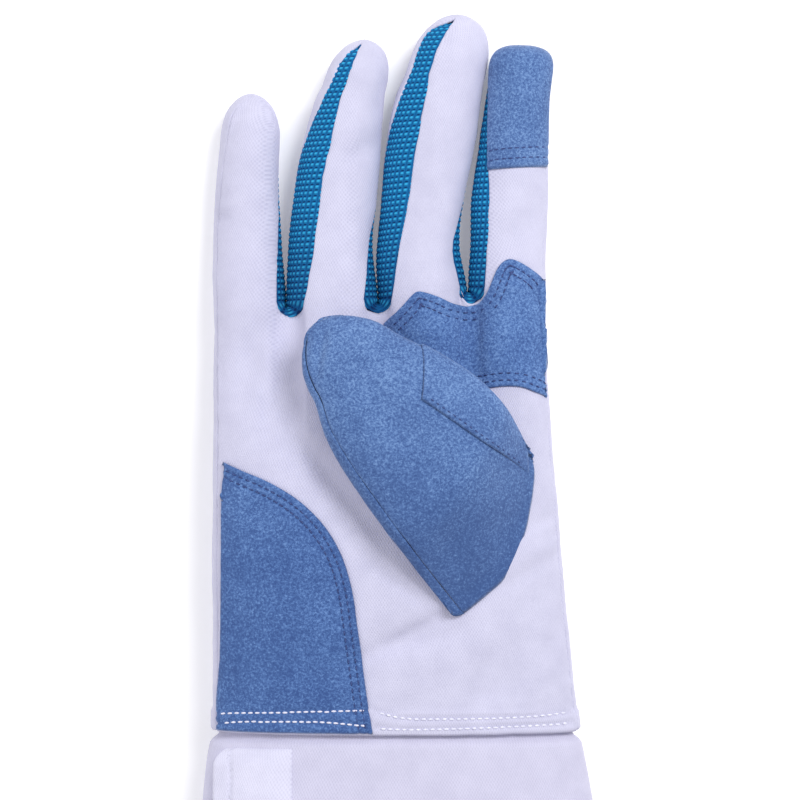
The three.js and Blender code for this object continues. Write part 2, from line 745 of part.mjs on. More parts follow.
// Thumb patch outline, in shares of the thumb's length along its axis and of its breadth across it
const thumb_patch_outline = [
  [0.7, 0.75], [0.695, 0.43], [0.67, 0.42], [0.575, 0.245], [0.482, 0.285], [0.37, 0.33],
  [0.27, 0.38], [0.19, 0.45], [0.17, 0.75],
];

function patchOnPalm(points) {
  const skin = toSolid(wallMesh(front_grids, -layer_gap - patch_wall, -layer_gap));
  return fromSolid(skin.intersect(prism(outline(points), cut_low, cut_high)));
}

// The thumb's patch ends just above its side.
const patch_end = 84;

function patchOnThumb() {
  const shares = Array.from({ length: thumb_columns + 1 }, (_, c) => c / thumb_columns);
  const grid = thumb_steps.slice(1, 9).map((along) => shares.map((share) => {
    const angle = thumbAngle(along, thumb_seam_left, thumb_seam_right, share);
    return (inset) => thumbPoint(along, Math.min(angle, patch_end * degrees), inset);
  }));
  const skin = toSolid(wallMesh([grid], -layer_gap - patch_wall, -layer_gap));
  const points = thumb_patch_outline.map(([along, across]) => {
    const [x, y] = thumbPlan(along * thumb_length, across * thumb_breadth);
    return new THREE.Vector2(x, y);
  });
  return fromSolid(skin.intersect(prism(points, cut_low, cut_high)));
}

const cap_start = 0.55;

function indexCap() {
  const steps = [cap_start, ...finger_steps.filter((along) => along > cap_start)];
  const grid = fingerGrid(index, frontPoint, steps);
  return wallMesh([grid], -layer_gap - patch_wall, -layer_gap);
}

// Cuff: it widens a little as it leaves the hem, and its middle moves right towards the mouth by a share.
const cuff_spring = 1.2;
const cuff_spring_run = 6;
const cuff_mouth_shift = 0.01;

function cuffShape(y) {
  const wrist = bodyShape(Math.max(0, y));
  const tucked = knit_wall + tuck_gap;
  const out = ease((-y - tuck_gap) / cuff_spring_run);
  const at = Math.max(0, -y) / cuff_length;
  const spring = cuff_spring * out * (1 - at);
  const half = mix(wrist.half, cuff_mouth / 2, at) - tucked * (1 - out) + spring;
  const height = mix(wrist.middle + wrist.rise, cuff_mouth_height, at);
  return {
    x: mix(wrist.x, cuff_mouth_shift * cuff_mouth, at),
    half,
    middle: height * (1 - crown_share),
    rise: height * crown_share - tucked * (1 - out),
    power: body_power,
    floor: tucked * (1 - out),
  };
}

function cuffPoint(y, angle, inset) {
  const shape = cuffShape(y);
  const [x, z] = section(shape, angle, inset);
  return [x, y, Math.max(z, shape.floor + Math.max(0, inset))];
}

const cuff_reach = 0.99;

function cuffAngle(y, x) {
  const shape = cuffShape(y);
  const share = Math.min(cuff_reach, Math.max(-cuff_reach, (x - shape.x) / shape.half));
  return Math.asin(signed(share, body_power / 2));
}

// The flap's left edge runs straight. The slit is under it, at a share of its breadth.
const flap_inset = 1.1;
const flap_edge = palm_left + flap_inset;
const flap_columns = 5;
const slit_share = 0.4;
const slit_start = 2;
const cuff_steps = [0.055, 0.13, 0.25, 0.4, 0.56, 0.72, 0.86, 1];
const cuff_levels = [cuff_tuck, -tuck_gap, -flap_drop, ...cuff_steps.map((share) => -cuff_length * share)];

function cuffWall() {
  const grid = cuff_levels.map((y) => {
    const slit = cuffAngle(y, flap_edge + flap_breadth * slit_share);
    const opening = y > -flap_drop - slit_start ? 0 : slit_width / 2 / (palm_height / 2);
    return Array.from({ length: cuff_columns + 1 }, (_, c) => {
      const turn = mix(slit + opening, slit + 2 * Math.PI - opening, c / cuff_columns);
      return (inset) => cuffPoint(y, turn, inset);
    });
  });
  return wallMesh([grid.reverse()], 0, cuff_wall);
}

function flapWall() {
  const end = -flap_drop - flap_length;
  const levels = [...cuff_levels.filter((y) => y <= -flap_drop && y > end + 1), end];
  const grid = levels.reverse().map((y) => {
    return Array.from({ length: flap_columns + 1 }, (_, c) => {
      const angle = cuffAngle(y, flap_edge + flap_breadth * c / flap_columns);
      return (inset) => cuffPoint(y, angle, inset);
    });
  });
  return wallMesh([grid], -2 * layer_gap - cuff_wall, -2 * layer_gap);
}

function palmWall() {
  const wall = toSolid(wallMesh(front_grids, 0, knit_wall));
  return fromSolid(wall.subtract(thumbHole()));
}

// Materials
const knit = { color: 0xe2e2f5, roughness: 0.9, metalness: 0 };
const suede = { color: 0x5f82b8, roughness: 0.95, metalness: 0 };
const air_mesh = { color: 0x2a6fa6, roughness: 0.8, metalness: 0 };

function piece(name, geometry, finish) {
  const mesh = new THREE.Mesh(geometry, new THREE.MeshStandardMaterial(finish));
  mesh.name = name;
  return mesh;
}

const glove = new THREE.Group();
glove.add(
  piece('palm_panel', palmWall(), knit),
  piece('back_panel', wallMesh(back_grids, 0, knit_wall), knit),
  piece('fourchette_little_ring', fourchette(crotches[0]), air_mesh),
  piece('fourchette_ring_middle', fourchette(crotches[1]), air_mesh),
  piece('fourchette_middle_index', fourchette(crotches[2]), air_mesh),
  piece('index_tip_cap', indexCap(), suede),
  piece('web_patch', patchOnPalm(web_outline), suede),
  piece('heel_patch', patchOnPalm(heel_outline), suede),
  piece('thumb_front', wallMesh([thumb_front_grid], 0, suede_wall), suede),
  piece('thumb_back', wallMesh([thumb_back_grid], 0, suede_wall), suede),
  piece('thumb_patch', patchOnThumb(), suede),
  piece('cuff', cuffWall(), knit),
  piece('closure_flap', flapWall(), knit),
);

// The origin is under the middle of the whole glove, on the surface that it rests on.
const box = new THREE.Box3().setFromObject(glove);
glove.position.set(-(box.min.x + box.max.x) / 2, -(box.min.y + box.max.y) / 2, -box.min.z);

export default glove;
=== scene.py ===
"""A right-hand fencing glove lying palm up on a pale table: knit hand, air-mesh strips, suede thumb."""
import math
from bisect import bisect

import bmesh
import bpy
from mathutils import Matrix, Vector, noise
from mathutils.bvhtree import BVHTree
from mathutils.kdtree import KDTree


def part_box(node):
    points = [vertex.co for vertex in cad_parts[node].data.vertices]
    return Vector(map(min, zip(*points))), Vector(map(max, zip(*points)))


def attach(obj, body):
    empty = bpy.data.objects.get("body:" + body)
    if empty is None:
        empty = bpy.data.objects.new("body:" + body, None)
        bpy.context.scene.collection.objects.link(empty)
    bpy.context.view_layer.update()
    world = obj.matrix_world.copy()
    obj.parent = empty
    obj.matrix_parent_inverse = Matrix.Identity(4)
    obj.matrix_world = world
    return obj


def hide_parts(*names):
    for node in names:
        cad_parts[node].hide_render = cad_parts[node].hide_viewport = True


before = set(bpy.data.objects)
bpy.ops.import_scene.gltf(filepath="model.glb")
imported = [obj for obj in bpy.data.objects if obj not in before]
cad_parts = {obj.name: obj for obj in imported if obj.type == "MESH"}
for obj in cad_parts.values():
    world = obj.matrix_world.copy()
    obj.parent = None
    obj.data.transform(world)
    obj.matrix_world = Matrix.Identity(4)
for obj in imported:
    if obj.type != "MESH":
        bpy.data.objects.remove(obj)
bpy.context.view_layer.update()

# Sizes of the real glove in millimetres, as the frame has them
MM = 0.001
PALM_LENGTH = 137
PALM_HEIGHT = 31
WRIST_FLARE = 10.2
FINGER_HEIGHT = 20.5
HEM_WIDTH = 6.6
HEM_PUFF = 0.5
GAPS = (0.8, 0.8, 2.6)
CROTCH_DEPTH = 5
WEB_RISE = 3.4
KNIT_WALL = 1.5
MESH_WALL = 1.2
SUEDE_WALL = 0.9
PATCH_WALL = 1.0
CUFF_WALL = 1.8
TUCK_GAP = 0.8
THUMB_LENGTH = 96.6
THUMB_BREADTH = 55.7
THUMB_HEIGHT = 14.5
THUMB_LOOP = 25
THUMB_CLEARANCE = 1.7
THUMB_LEAN = math.radians(40)
CUFF_LENGTH = 135
CUFF_TUCK = 8
CUFF_MOUTH = 154
CUFF_MOUTH_HEIGHT = 43
FLAP_BREADTH = 24
FLAP_LENGTH = 128
FLAP_DROP = 4.6
CROWN_SHARE = 0.54
BODY_POWER = 2.5
SEAM_LEFT = 0.967
SEAM_RIGHT = 0.982

FINGER_COLUMNS = ("at", "shift", "half", "front_left", "back_left", "front_right", "back_right")
FINGERS = (
    dict(name="little", length=67, breadth=23, dome=0.78, power=2, pole=0, rows=(
        (0, 0, 0.5, -60, -60, 52, 108), (0.25, -0.02, 0.485, -60, -60, 64, 110),
        (0.47, -0.028, 0.455, -57, -57, 80, 113), (0.68, -0.014, 0.425, -50, -50, 97, 120),
        (0.78, 0.007, 0.417, -47, -47, 106, 128), (0.93, 0.015, 0.417, -38, -38, 136, 148),
        (1, 0.02, 0.417, 0, 0, 180, 180))),
    dict(name="ring", length=84, breadth=28.6, dome=0.826, power=2, pole=0, rows=(
        (0, 0, 0.5, -37, -108, 47, 110), (0.2, -0.025, 0.475, -22, -100, 68, 115),
        (0.39, 0.03, 0.474, -20, -94, 88, 117), (0.54, 0.083, 0.458, -18, -82, 90, 119),
        (0.77, 0.198, 0.386, -16, -50, 100, 124), (0.826, 0.25, 0.363, -15, -46, 110, 130),
        (0.95, 0.33, 0.363, -8, -32, 140, 155), (0.985, 0.343, 0.363, -2, -5, 170, 174),
        (1, 0.35, 0.363, 0, 0, 180, 180))),
    dict(name="middle", length=89.5, breadth=26.9, dome=0.815, power=2, pole=0, rows=(
        (0, 0, 0.5, -44, -108, 68, 112), (0.15, -0.046, 0.488, -29, -100, 62, 114),
        (0.33, 0.018, 0.5, -21, -95, 84, 116), (0.51, 0.101, 0.532, -20, -85, 90, 118),
        (0.69, 0.202, 0.524, -18, -63, 96, 122), (0.815, 0.315, 0.473, -24, -62, 108, 130),
        (0.95, 0.41, 0.473, -14, -58, 140, 154), (0.985, 0.42, 0.473, -3, -8, 170, 174),
        (1, 0.425, 0.473, 0, 0, 180, 180))),
    dict(name="index", length=76.5, breadth=24, dome=0.895, power=3, pole=-50, rows=(
        (0, 0, 0.5, -42, -108, 65, 65), (0.15, -0.004, 0.5, -37, -102, 67, 67),
        (0.36, 0.008, 0.517, -35, -96, 70, 70), (0.57, 0.055, 0.462, -46, -92, 71, 71),
        (0.78, 0.104, 0.425, -58, -88, 72, 72), (0.895, 0.15, 0.414, -70, -84, 75, 75),
        (0.98, 0.15, 0.414, -62, -74, 98, 98), (1, 0.14, 0.414, -50, -50, 130, 130))),
)
for finger in FINGERS:
    finger["rows"] = [dict(zip(FINGER_COLUMNS, row)) for row in finger["rows"]]
RING, INDEX = FINGERS[1], FINGERS[3]


def table(columns, *rows):
    return [dict(zip(columns, row)) for row in rows]


PALM_ROWS = table(("at", "height"), (0, 0.92), (0.25, 1), (0.5, 1.03), (0.75, 0.98), (1, 0.85))
FINGER_HEIGHTS = table(("at", "height"), (0, 1.16), (0.25, 1.02), (0.6, 0.98), (0.85, 0.9), (1, 0.82))
THUMB_ROWS = table(("at", "shift", "half", "height"),
                   (0, 0.024, 0.452, 0.75), (0.2, 0.036, 0.452, 0.9), (0.4, 0.074, 0.472, 1),
                   (0.55, 0.073, 0.447, 0.98), (0.7, 0.055, 0.378, 0.92), (0.825, 0.052, 0.292, 0.84),
                   (1, 0.035, 0.292, 0.75))
THUMB_DOME = 0.825
THUMB_POWER = 1.6
THUMB_POLE = -60
THUMB_SEAM_LEFT = -61
THUMB_SEAM_RIGHT = 100

# Broad dents of the palm: place in shares of its breadth and length, turn in degrees, depth by height
DENTS = table(("x", "y", "along", "across", "turn", "depth"),
              (0.2, 0.86, 0.26, 0.07, 80, 0.09), (0.3, 0.62, 0.3, 0.08, 125, 0.1),
              (0.62, 0.22, 0.22, 0.06, 20, 0.07), (0.95, 0.5, 0.14, 0.05, 15, 0.06),
              (0.86, 0.12, 0.2, 0.06, 60, 0.05))

# Creases of the cloth, in millimetres from the wrist's left end: middle, half length, half width,
# direction in degrees and depth. A negative depth is a ridge.
CREASES = table(("x", "y", "long", "wide", "turn", "depth"),
                (48, 184, 7, 2.4, 33, 1.3), (44, 190, 8, 2.6, 33, -0.9), (53, 200, 5, 2, 75, 0.35),
                (41, 160, 6, 1.8, 10, 0.35), (72, 168, 7, 2, -62, 0.8), (76, 166, 6, 2.2, -50, -0.5),
                (66, 196, 5, 1.6, 50, 0.4), (62, 152, 9, 2.2, 40, 0.5), (97, 158, 10, 2.6, 42, 1.0),
                (92, 163, 9, 2.6, 42, -0.6), (102, 170, 7, 1.8, 60, 0.4), (2, 169, 4, 1.1, 5, 1.1),
                (3, 164, 5, 1.1, 12, 1.0), (6, 167, 5, 1.4, 8, -0.5), (12, 176, 6, 1.8, -20, 0.35),
                (9, 196, 9, 1.8, 62, 0.5), (12, 117, 13, 6, 75, 2.8), (21, 108, 14, 4, 74, 0.9),
                (17, 104, 15, 2.6, 96, 0.5), (42, 76, 17, 3, 130, 1.2), (33, 85, 16, 2.4, 122, 0.8),
                (62, 45, 14, 2, 140, 0.9), (72, 36, 20, 2.2, 28, 1.2), (60, 28, 14, 2.6, 15, 0.8),
                (104, 66, 7, 1.6, 25, 0.7), (106, 58, 8, 1.8, 20, -0.5), (100, 50, 10, 2.2, 30, 0.6),
                (88, 22, 14, 2.4, 70, 0.5), (98, 16, 12, 2.4, 80, 0.5), (70, 14, 10, 2.2, 95, 0.4),
                (108, 28, 8, 2, 60, 0.5))
THUMB_CREASES = table(("x", "y", "long", "wide", "turn", "depth"),
                      (34.5, 118.5, 8, 1.8, 80, 0.75), (38, 120, 6, 2.2, 80, -0.4),
                      (57, 100, 16, 5, 130, 0.5), (78, 66, 14, 4, 60, 0.5), (92, 80, 10, 3, 115, 0.4))


def mix(a, b, share):
    return a + (b - a) * share


def ease(value):
    share = min(1, max(0, value))
    return share * share * (3 - 2 * share)


def signed(value, power):
    return math.copysign(abs(value) ** power, value)


def read(rows, at, column):
    """Smooth reading of one column of a table."""
    last = len(rows) - 1
    i = 0
    while i < last - 1 and at > rows[i + 1]["at"]:
        i += 1
    slopes = []
    for k in (i, i + 1):
        a, b = rows[max(0, k - 1)], rows[min(last, k + 1)]
        slopes.append((b[column] - a[column]) / (b["at"] - a["at"]))
    span = rows[i + 1]["at"] - rows[i]["at"]
    t = min(1, max(0, (at - rows[i]["at"]) / span))
    rise = rows[i + 1][column] - rows[i][column]
    bend = slopes[0] * span * (t - 2 * t * t + t ** 3) + slopes[1] * span * (t ** 3 - t * t)
    return rows[i][column] + rise * (3 * t * t - 2 * t ** 3) + bend


# Layout: the palm's left end and the wrist line come from the frame, the fingers stand side by side
PALM_BREADTH = sum(f["breadth"] for f in FINGERS) + sum(GAPS)
PALM_LEFT = -0.561 * PALM_BREADTH
CROTCH_SHARES = (0.995, 1.003, 1.03)
CUFF_MIDDLE = 1.45
cuff_low, cuff_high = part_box("cuff")
SHIFT = Vector(((cuff_low.x + cuff_high.x) / 2 - CUFF_MIDDLE * MM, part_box("palm_panel")[0].y, 0))
edge = PALM_LEFT
for i, finger in enumerate(FINGERS):
    finger["x"] = edge + finger["breadth"] / 2
    edge += finger["breadth"] + (GAPS[i] if i < len(GAPS) else 0)
    finger["left_y"] = PALM_LENGTH * CROTCH_SHARES[max(0, i - 1)]
    finger["right_y"] = PALM_LENGTH * CROTCH_SHARES[min(2, i)]


def in_frame(x, y, z):
    """A place in the glove's own millimetres, moved to the frame and to metres."""
    return Vector((x * MM, y * MM, z * MM)) + SHIFT


def own_place(vert):
    return (vert.co - SHIFT) / MM


def turned(dx, dy, degrees):
    """The two shares of a plan step, along and across a direction."""
    turn = math.radians(degrees)
    return dx * math.cos(turn) + dy * math.sin(turn), dy * math.cos(turn) - dx * math.sin(turn)


def section(x, half, middle, rise, power, angle, inset):
    across = x + (half - inset) * signed(math.sin(angle), 2 / power)
    return across, max(middle + (rise - inset) * signed(math.cos(angle), 2 / power), inset)


def body_shape(y):
    at = y / PALM_LENGTH
    right = PALM_LEFT + PALM_BREADTH + WRIST_FLARE * max(0, 1 - at) ** 1.5
    height = PALM_HEIGHT * read(PALM_ROWS, at, "height")
    middle, rise = height * (1 - CROWN_SHARE), height * CROWN_SHARE
    return (PALM_LEFT + right) / 2, (right - PALM_LEFT) / 2, middle, rise, BODY_POWER


def dent_depth(x, y):
    depth = 0
    for dent in DENTS:
        dx = x - PALM_LEFT - dent["x"] * PALM_BREADTH
        dy = y - dent["y"] * PALM_LENGTH
        along, across = turned(dx, dy, dent["turn"])
        u, v = along / (dent["along"] * PALM_BREADTH), across / (dent["across"] * PALM_BREADTH)
        depth += dent["depth"] * PALM_HEIGHT * math.exp(-u * u - v * v)
    return depth


def dome(along, power):
    """How far a tip has rounded off and narrowed, from along = 1 at its start to 2 at its pole."""
    turn = max(0, along - 1) * math.pi / 2
    return math.sin(turn) ** (2 / power), max(0, math.cos(turn)) ** (2 / power)


def finger_at(finger, along):
    """Share of the finger's length, and the state of its dome."""
    round_off, narrow = dome(along, finger["power"])
    at = finger["dome"] * along if along <= 1 else mix(finger["dome"], 1, round_off)
    return at, round_off, narrow


def finger_seam(finger, along, column):
    return math.radians(read(finger["rows"], finger_at(finger, along)[0], column))


def finger_point(finger, along, angle, inset=0):
    at, round_off, narrow = finger_at(finger, along)
    slimness = mix(1, finger["breadth"] / RING["breadth"], 0.4)
    height = FINGER_HEIGHT * read(FINGER_HEIGHTS, at, "height") * slimness
    x = finger["x"] + finger["breadth"] * read(finger["rows"], at, "shift")
    half = (finger["breadth"] * read(finger["rows"], at, "half") - inset) * narrow
    rise = (height * CROWN_SHARE - inset) * narrow
    x, z = section(x, half, height * (1 - CROWN_SHARE), rise, 2, angle, 0)
    low = mix(finger["left_y"], finger["right_y"], (1 + math.sin(angle)) / 2)
    tip = (finger["left_y"] + finger["right_y"]) / 2 + finger["length"]
    dome_y = tip - finger["length"] * (1 - finger["dome"])
    y = mix(low, dome_y, along) if along <= 1 else dome_y + (tip - dome_y - inset) * round_off
    return Vector((x, y, max(z, inset, 0)))


# Edges of a crotch: height as a share of the finger's, and which way the wall's thickness lies
LEVELS = dict(front=(0.8, -1), back=(0.14, 1))


def crotch_point(crotch, share, level, inset=0):
    height, lift = LEVELS[level]
    left_finger, right_finger = FINGERS[crotch], FINGERS[crotch + 1]
    left = finger_point(left_finger, 0, finger_seam(left_finger, 0, level + "_right"), inset)
    right = finger_point(right_finger, 0, finger_seam(right_finger, 0, level + "_left"), inset)
    w = (1 - math.cos(math.pi * share)) / 2
    deep = math.sin(math.pi * share)
    point = left.lerp(right, w)
    point.y -= (CROTCH_DEPTH + 0.3 * inset) * deep
    point.z = max(mix(point.z, FINGER_HEIGHT * height + lift * inset, deep), inset, 0)
    return point


def crotch_middle(crotch, share):
    left_finger, right_finger = FINGERS[crotch], FINGERS[crotch + 1]
    sides = []
    for finger, side in ((left_finger, "right"), (right_finger, "left")):
        angle = (finger_seam(finger, 0, "front_" + side) + finger_seam(finger, 0, "back_" + side)) / 2
        point = finger_point(finger, 0, angle)
        point.x += bulge(finger, side, 0)
        sides.append(point)
    point = sides[0].lerp(sides[1], (1 - math.cos(math.pi * share)) / 2)
    point.y -= (CROTCH_DEPTH - WEB_RISE) * math.sin(math.pi * share)
    return point


# Grids. A place is a function of two shares; the grid's squares are moved to it.
def lay_grid(bm, columns, rows, place, shares=None):
    """Adds a grid of columns by rows and moves its points. shares bends the spacing of the columns."""
    made = bmesh.ops.create_grid(bm, x_segments=columns, y_segments=rows, size=0.5)["verts"]
    for vert in made:
        u, v = vert.co.x + 0.5, vert.co.y + 0.5
        vert.co = place(shares(u) if shares else u, v)
    return made


def denser_ends(amount):
    return lambda u: u - amount * math.sin(2 * math.pi * u) / (2 * math.pi)


def piece(name, bm, material, nodes=(), wall=0):
    """Finishes a bmesh as a piece that rides with the glove."""
    mesh = bpy.data.meshes.new(name)
    bm.to_mesh(mesh)
    bm.free()
    mesh.polygons.foreach_set("use_smooth", [True] * len(mesh.polygons))
    obj = bpy.data.objects.new(name, mesh)
    bpy.context.scene.collection.objects.link(obj)
    mesh.materials.append(material)
    if wall:
        thick = obj.modifiers.new("wall", "SOLIDIFY")
        thick.thickness = wall * MM
        thick.offset = -1
        thick.use_quality_normals = True
    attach(obj, "root")
    if nodes:
        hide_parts(*nodes)


POLE_REACH = 9
WELD = 0.00002


def weld(bm):
    bmesh.ops.remove_doubles(bm, verts=bm.verts, dist=WELD)


def even_out(bm, verts, times):
    for _ in range(times):
        bmesh.ops.smooth_vert(bm, verts=verts, factor=0.5, use_axis_x=True, use_axis_y=True, use_axis_z=True)


def point_tree(points):
    tree = KDTree(len(points))
    for i, point in enumerate(points):
        tree.insert(point, i)
    tree.balance()
    return tree


def edge_distance(bm, reach, skip=None):
    """Distance in millimetres from each vertex to the nearest open edge, up to reach."""
    points = []
    for open_edge in bm.edges:
        if len(open_edge.link_faces) != 1:
            continue
        a, b = (v.co for v in open_edge.verts)
        if skip and skip((a + b) / 2):
            continue
        points += [a.lerp(b, k / 4) for k in range(4)]
    tree = point_tree(points)
    return {v: min(reach, tree.find(v.co)[2] / MM) for v in bm.verts}


def roll_edges(bm, radius, depth, skip=None, poles=()):
    """Turns the open edges inwards, as cloth does at a seam, and less so near the poles of a tip."""
    bm.normal_update()
    near = edge_distance(bm, radius * 3, skip)
    for vert, distance in near.items():
        calm = min([ease((vert.co - pole).length / MM / POLE_REACH) for pole in poles], default=1)
        near[vert] = distance / max(0.05, calm)
        if distance < radius:
            drop = 1 - math.sqrt(max(0, 1 - (1 - distance / radius) ** 2))
            vert.co -= vert.normal * depth * drop * calm * MM
    return near


def crease_depth(x, y, creases=CREASES):
    depth = 0
    for crease in creases:
        dx = x - PALM_LEFT - crease["x"]
        dy = y - crease["y"]
        if abs(dx) + abs(dy) > 3 * crease["long"] + 3 * crease["wide"]:
            continue
        along, across = turned(dx, dy, crease["turn"])
        u, v = along / crease["long"], across / crease["wide"]
        depth += crease["depth"] * math.exp(-u * u - v * v)
    return depth


def soften(bm, swell, ripple=0.0, near=None):
    """Small uneven swells of cloth, creases on the front, and puckers beside the seams."""
    bm.normal_update()
    for vert in bm.verts:
        own = own_place(vert)
        move = swell * noise.noise(own / 16) + 0.4 * swell * noise.noise(own / 6.5)
        if vert.normal.z > 0.05:
            from_seam = near[vert] / 2 if near else 1
            move -= crease_depth(own.x, own.y) * ease(vert.normal.z * 1.6) * ease(from_seam)
        if near and near[vert] < 4:
            move += ripple * noise.noise(own / 2.6) * (1 - near[vert] / 4)
        vert.co += vert.normal * move * MM
        vert.co.z = max(vert.co.z, 0)


UNROLL_REACH = 12


def unroll(bm, centre_x):
    """UV map in metres: width measured over the crown and down the sides, length along the glove."""
    layer = bm.loops.layers.uv.new("UVMap")
    top = PALM_HEIGHT * MM
    for face in bm.faces:
        for loop in face.loops:
            co = loop.vert.co
            side = min(1, max(-1, (co.x - centre_x) / (UNROLL_REACH * MM)))
            loop[layer].uv = (co.x + side * (top - co.z), co.y)


# Shader maths
class Value:
    """A shader socket that can be used in expressions."""

    def __init__(self, nodes, socket):
        self.nodes = nodes
        self.socket = socket

    def maths(self, operation, *others):
        return self.nodes.add("ShaderNodeMath", dict(operation=operation), self, *others)

    def __add__(self, other):
        return self.maths("ADD", other)

    def __sub__(self, other):
        return self.maths("SUBTRACT", other)

    def __mul__(self, other):
        return self.maths("MULTIPLY", other)

    def __truediv__(self, other):
        return self.maths("DIVIDE", other)

    def __rsub__(self, other):
        return self.nodes.add("ShaderNodeMath", dict(operation="SUBTRACT"), other, self)


class Nodes:
    """A material's nodes, added one by one."""

    def __init__(self, name):
        self.material = bpy.data.materials.new(name)
        self.material.use_nodes = True
        self.tree = self.material.node_tree
        self.shader = self.tree.nodes["Principled BSDF"]

    def add(self, kind, settings, *values, out=0, **named):
        node = self.tree.nodes.new(kind)
        for key, value in settings.items():
            if key == "ramp":
                self.set_ramp(node.color_ramp, value)
            else:
                setattr(node, key, value)
        for key, value in [*enumerate(values), *named.items()]:
            self.put(node.inputs[key], value)
        return Value(self, node.outputs[out])

    def put(self, socket, value):
        if isinstance(value, Value):
            self.tree.links.new(value.socket, socket)
        else:
            socket.default_value = value

    def set_ramp(self, ramp, stops):
        while len(ramp.elements) < len(stops):
            ramp.elements.new(1)
        for element, (position, colour) in zip(ramp.elements, stops):
            element.position = position
            element.color = colour

    def ramp(self, factor, *stops):
        return self.add("ShaderNodeValToRGB", dict(ramp=stops), factor)

    def fade(self, value, low, high, start=0.0, end=1.0):
        settings = dict(interpolation_type="SMOOTHSTEP")
        return self.add("ShaderNodeMapRange", settings, value, low, high, start, end)

    def blend(self, factor, a, b):
        node = self.tree.nodes.new("ShaderNodeMix")
        node.data_type = "RGBA"
        for socket, value in ((node.inputs[0], factor), (node.inputs[6], a), (node.inputs[7], b)):
            self.put(socket, value)
        return Value(self, node.outputs[2])

    def grain(self, vector, scale, detail=3.0, rough=0.5):
        return self.add("ShaderNodeTexNoise", {}, Vector=vector, Scale=scale, Detail=detail, Roughness=rough)

    def bump(self, height, strength, distance):
        return self.add("ShaderNodeBump", {}, Height=height, Strength=strength, Distance=distance)

    def place(self):
        return self.add("ShaderNodeTexCoord", {}, out=3)

    def uv(self):
        return self.add("ShaderNodeUVMap", dict(uv_map="UVMap"))

    def split(self, vector):
        node = self.tree.nodes.new("ShaderNodeSeparateXYZ")
        self.put(node.inputs[0], vector)
        return [Value(self, node.outputs[k]) for k in range(3)]

    def set(self, **values):
        for key, value in values.items():
            self.put(self.shader.inputs[key.replace("_", " ")], value)
        return self.material


def rgb(red, green, blue):
    """Linear colour from the 0 to 255 values that a screen shows."""
    channels = [c / 255 for c in (red, green, blue)]
    return (*[c / 12.92 if c <= 0.04045 else ((c + 0.055) / 1.055) ** 2.4 for c in channels], 1)


def white_knit(name, light, shade, pitch=0.0009):
    """Fine knit: staggered small stitches, with a faint mottle and some fuzz."""
    n = Nodes(name)
    at = n.place()
    u, v, _ = n.split(n.uv())
    drift = n.grain(at, 300, 2) * 2.2
    wale = u * (2 * math.pi / pitch) + drift
    course = v * (math.pi / (0.8 * pitch)) + drift
    weave = wale.maths("SINE") * course.maths("SINE") + (wale * 2).maths("COSINE") * 0.2
    mottle = n.grain(at, 130, 4)
    fuzz = n.grain(at, 2400, 2)
    tone = n.fade(weave * 0.35 + mottle + fuzz * 0.8, 0.3, 1.5)
    colour = n.blend(tone, rgb(*shade), rgb(*light))
    normal = n.bump(weave * 0.45 + fuzz, 0.55, 0.00018)
    return n.set(Base_Color=colour, Roughness=0.9, Normal=normal, Sheen_Weight=0.2, Sheen_Roughness=0.5)


def blue_suede(name, light, middle, dark, painted_shade_depth):
    """Suede: an even nap with fine flecks, faintly brushed. The last argument sets how much painted shade
    darkens it towards the wrist end, by the thumb's base and on the heel.
    """
    n = Nodes(name)
    at = n.place()
    brushed = n.grain(at, 70, 3, 0.5)
    clump = n.grain(at, 520, 4, 0.65)
    fleck = n.grain(at, 1300, 3, 0.7)
    fibre = n.grain(at, 3200, 2, 0.7)
    _, y, _ = n.split(at)
    # Painted shade: the last term darkens the suede towards low y, where the thumb's base turns down away
    # from the light; on the heel patch it darkens the wrist end alike.
    tone = brushed * 0.16 + clump * 0.14 + fleck * 0.65 + fibre * 0.35 - (1 - n.fade(y, -0.005, 0.06)) * painted_shade_depth
    colour = n.ramp(n.fade(tone, 0.48, 0.84), (0, rgb(*dark)), (0.5, rgb(*middle)), (1, rgb(*light)))
    normal = n.bump(fleck * 0.7 + clump * 0.6 + fibre * 0.3, 0.45, 0.00028)
    return n.set(Base_Color=colour, Roughness=0.95, Normal=normal, Sheen_Weight=0.3, Sheen_Roughness=0.4)


# Air mesh: distance between loops across and along the strip, in metres
MESH_ACROSS = 0.00165
MESH_ALONG = 0.00185


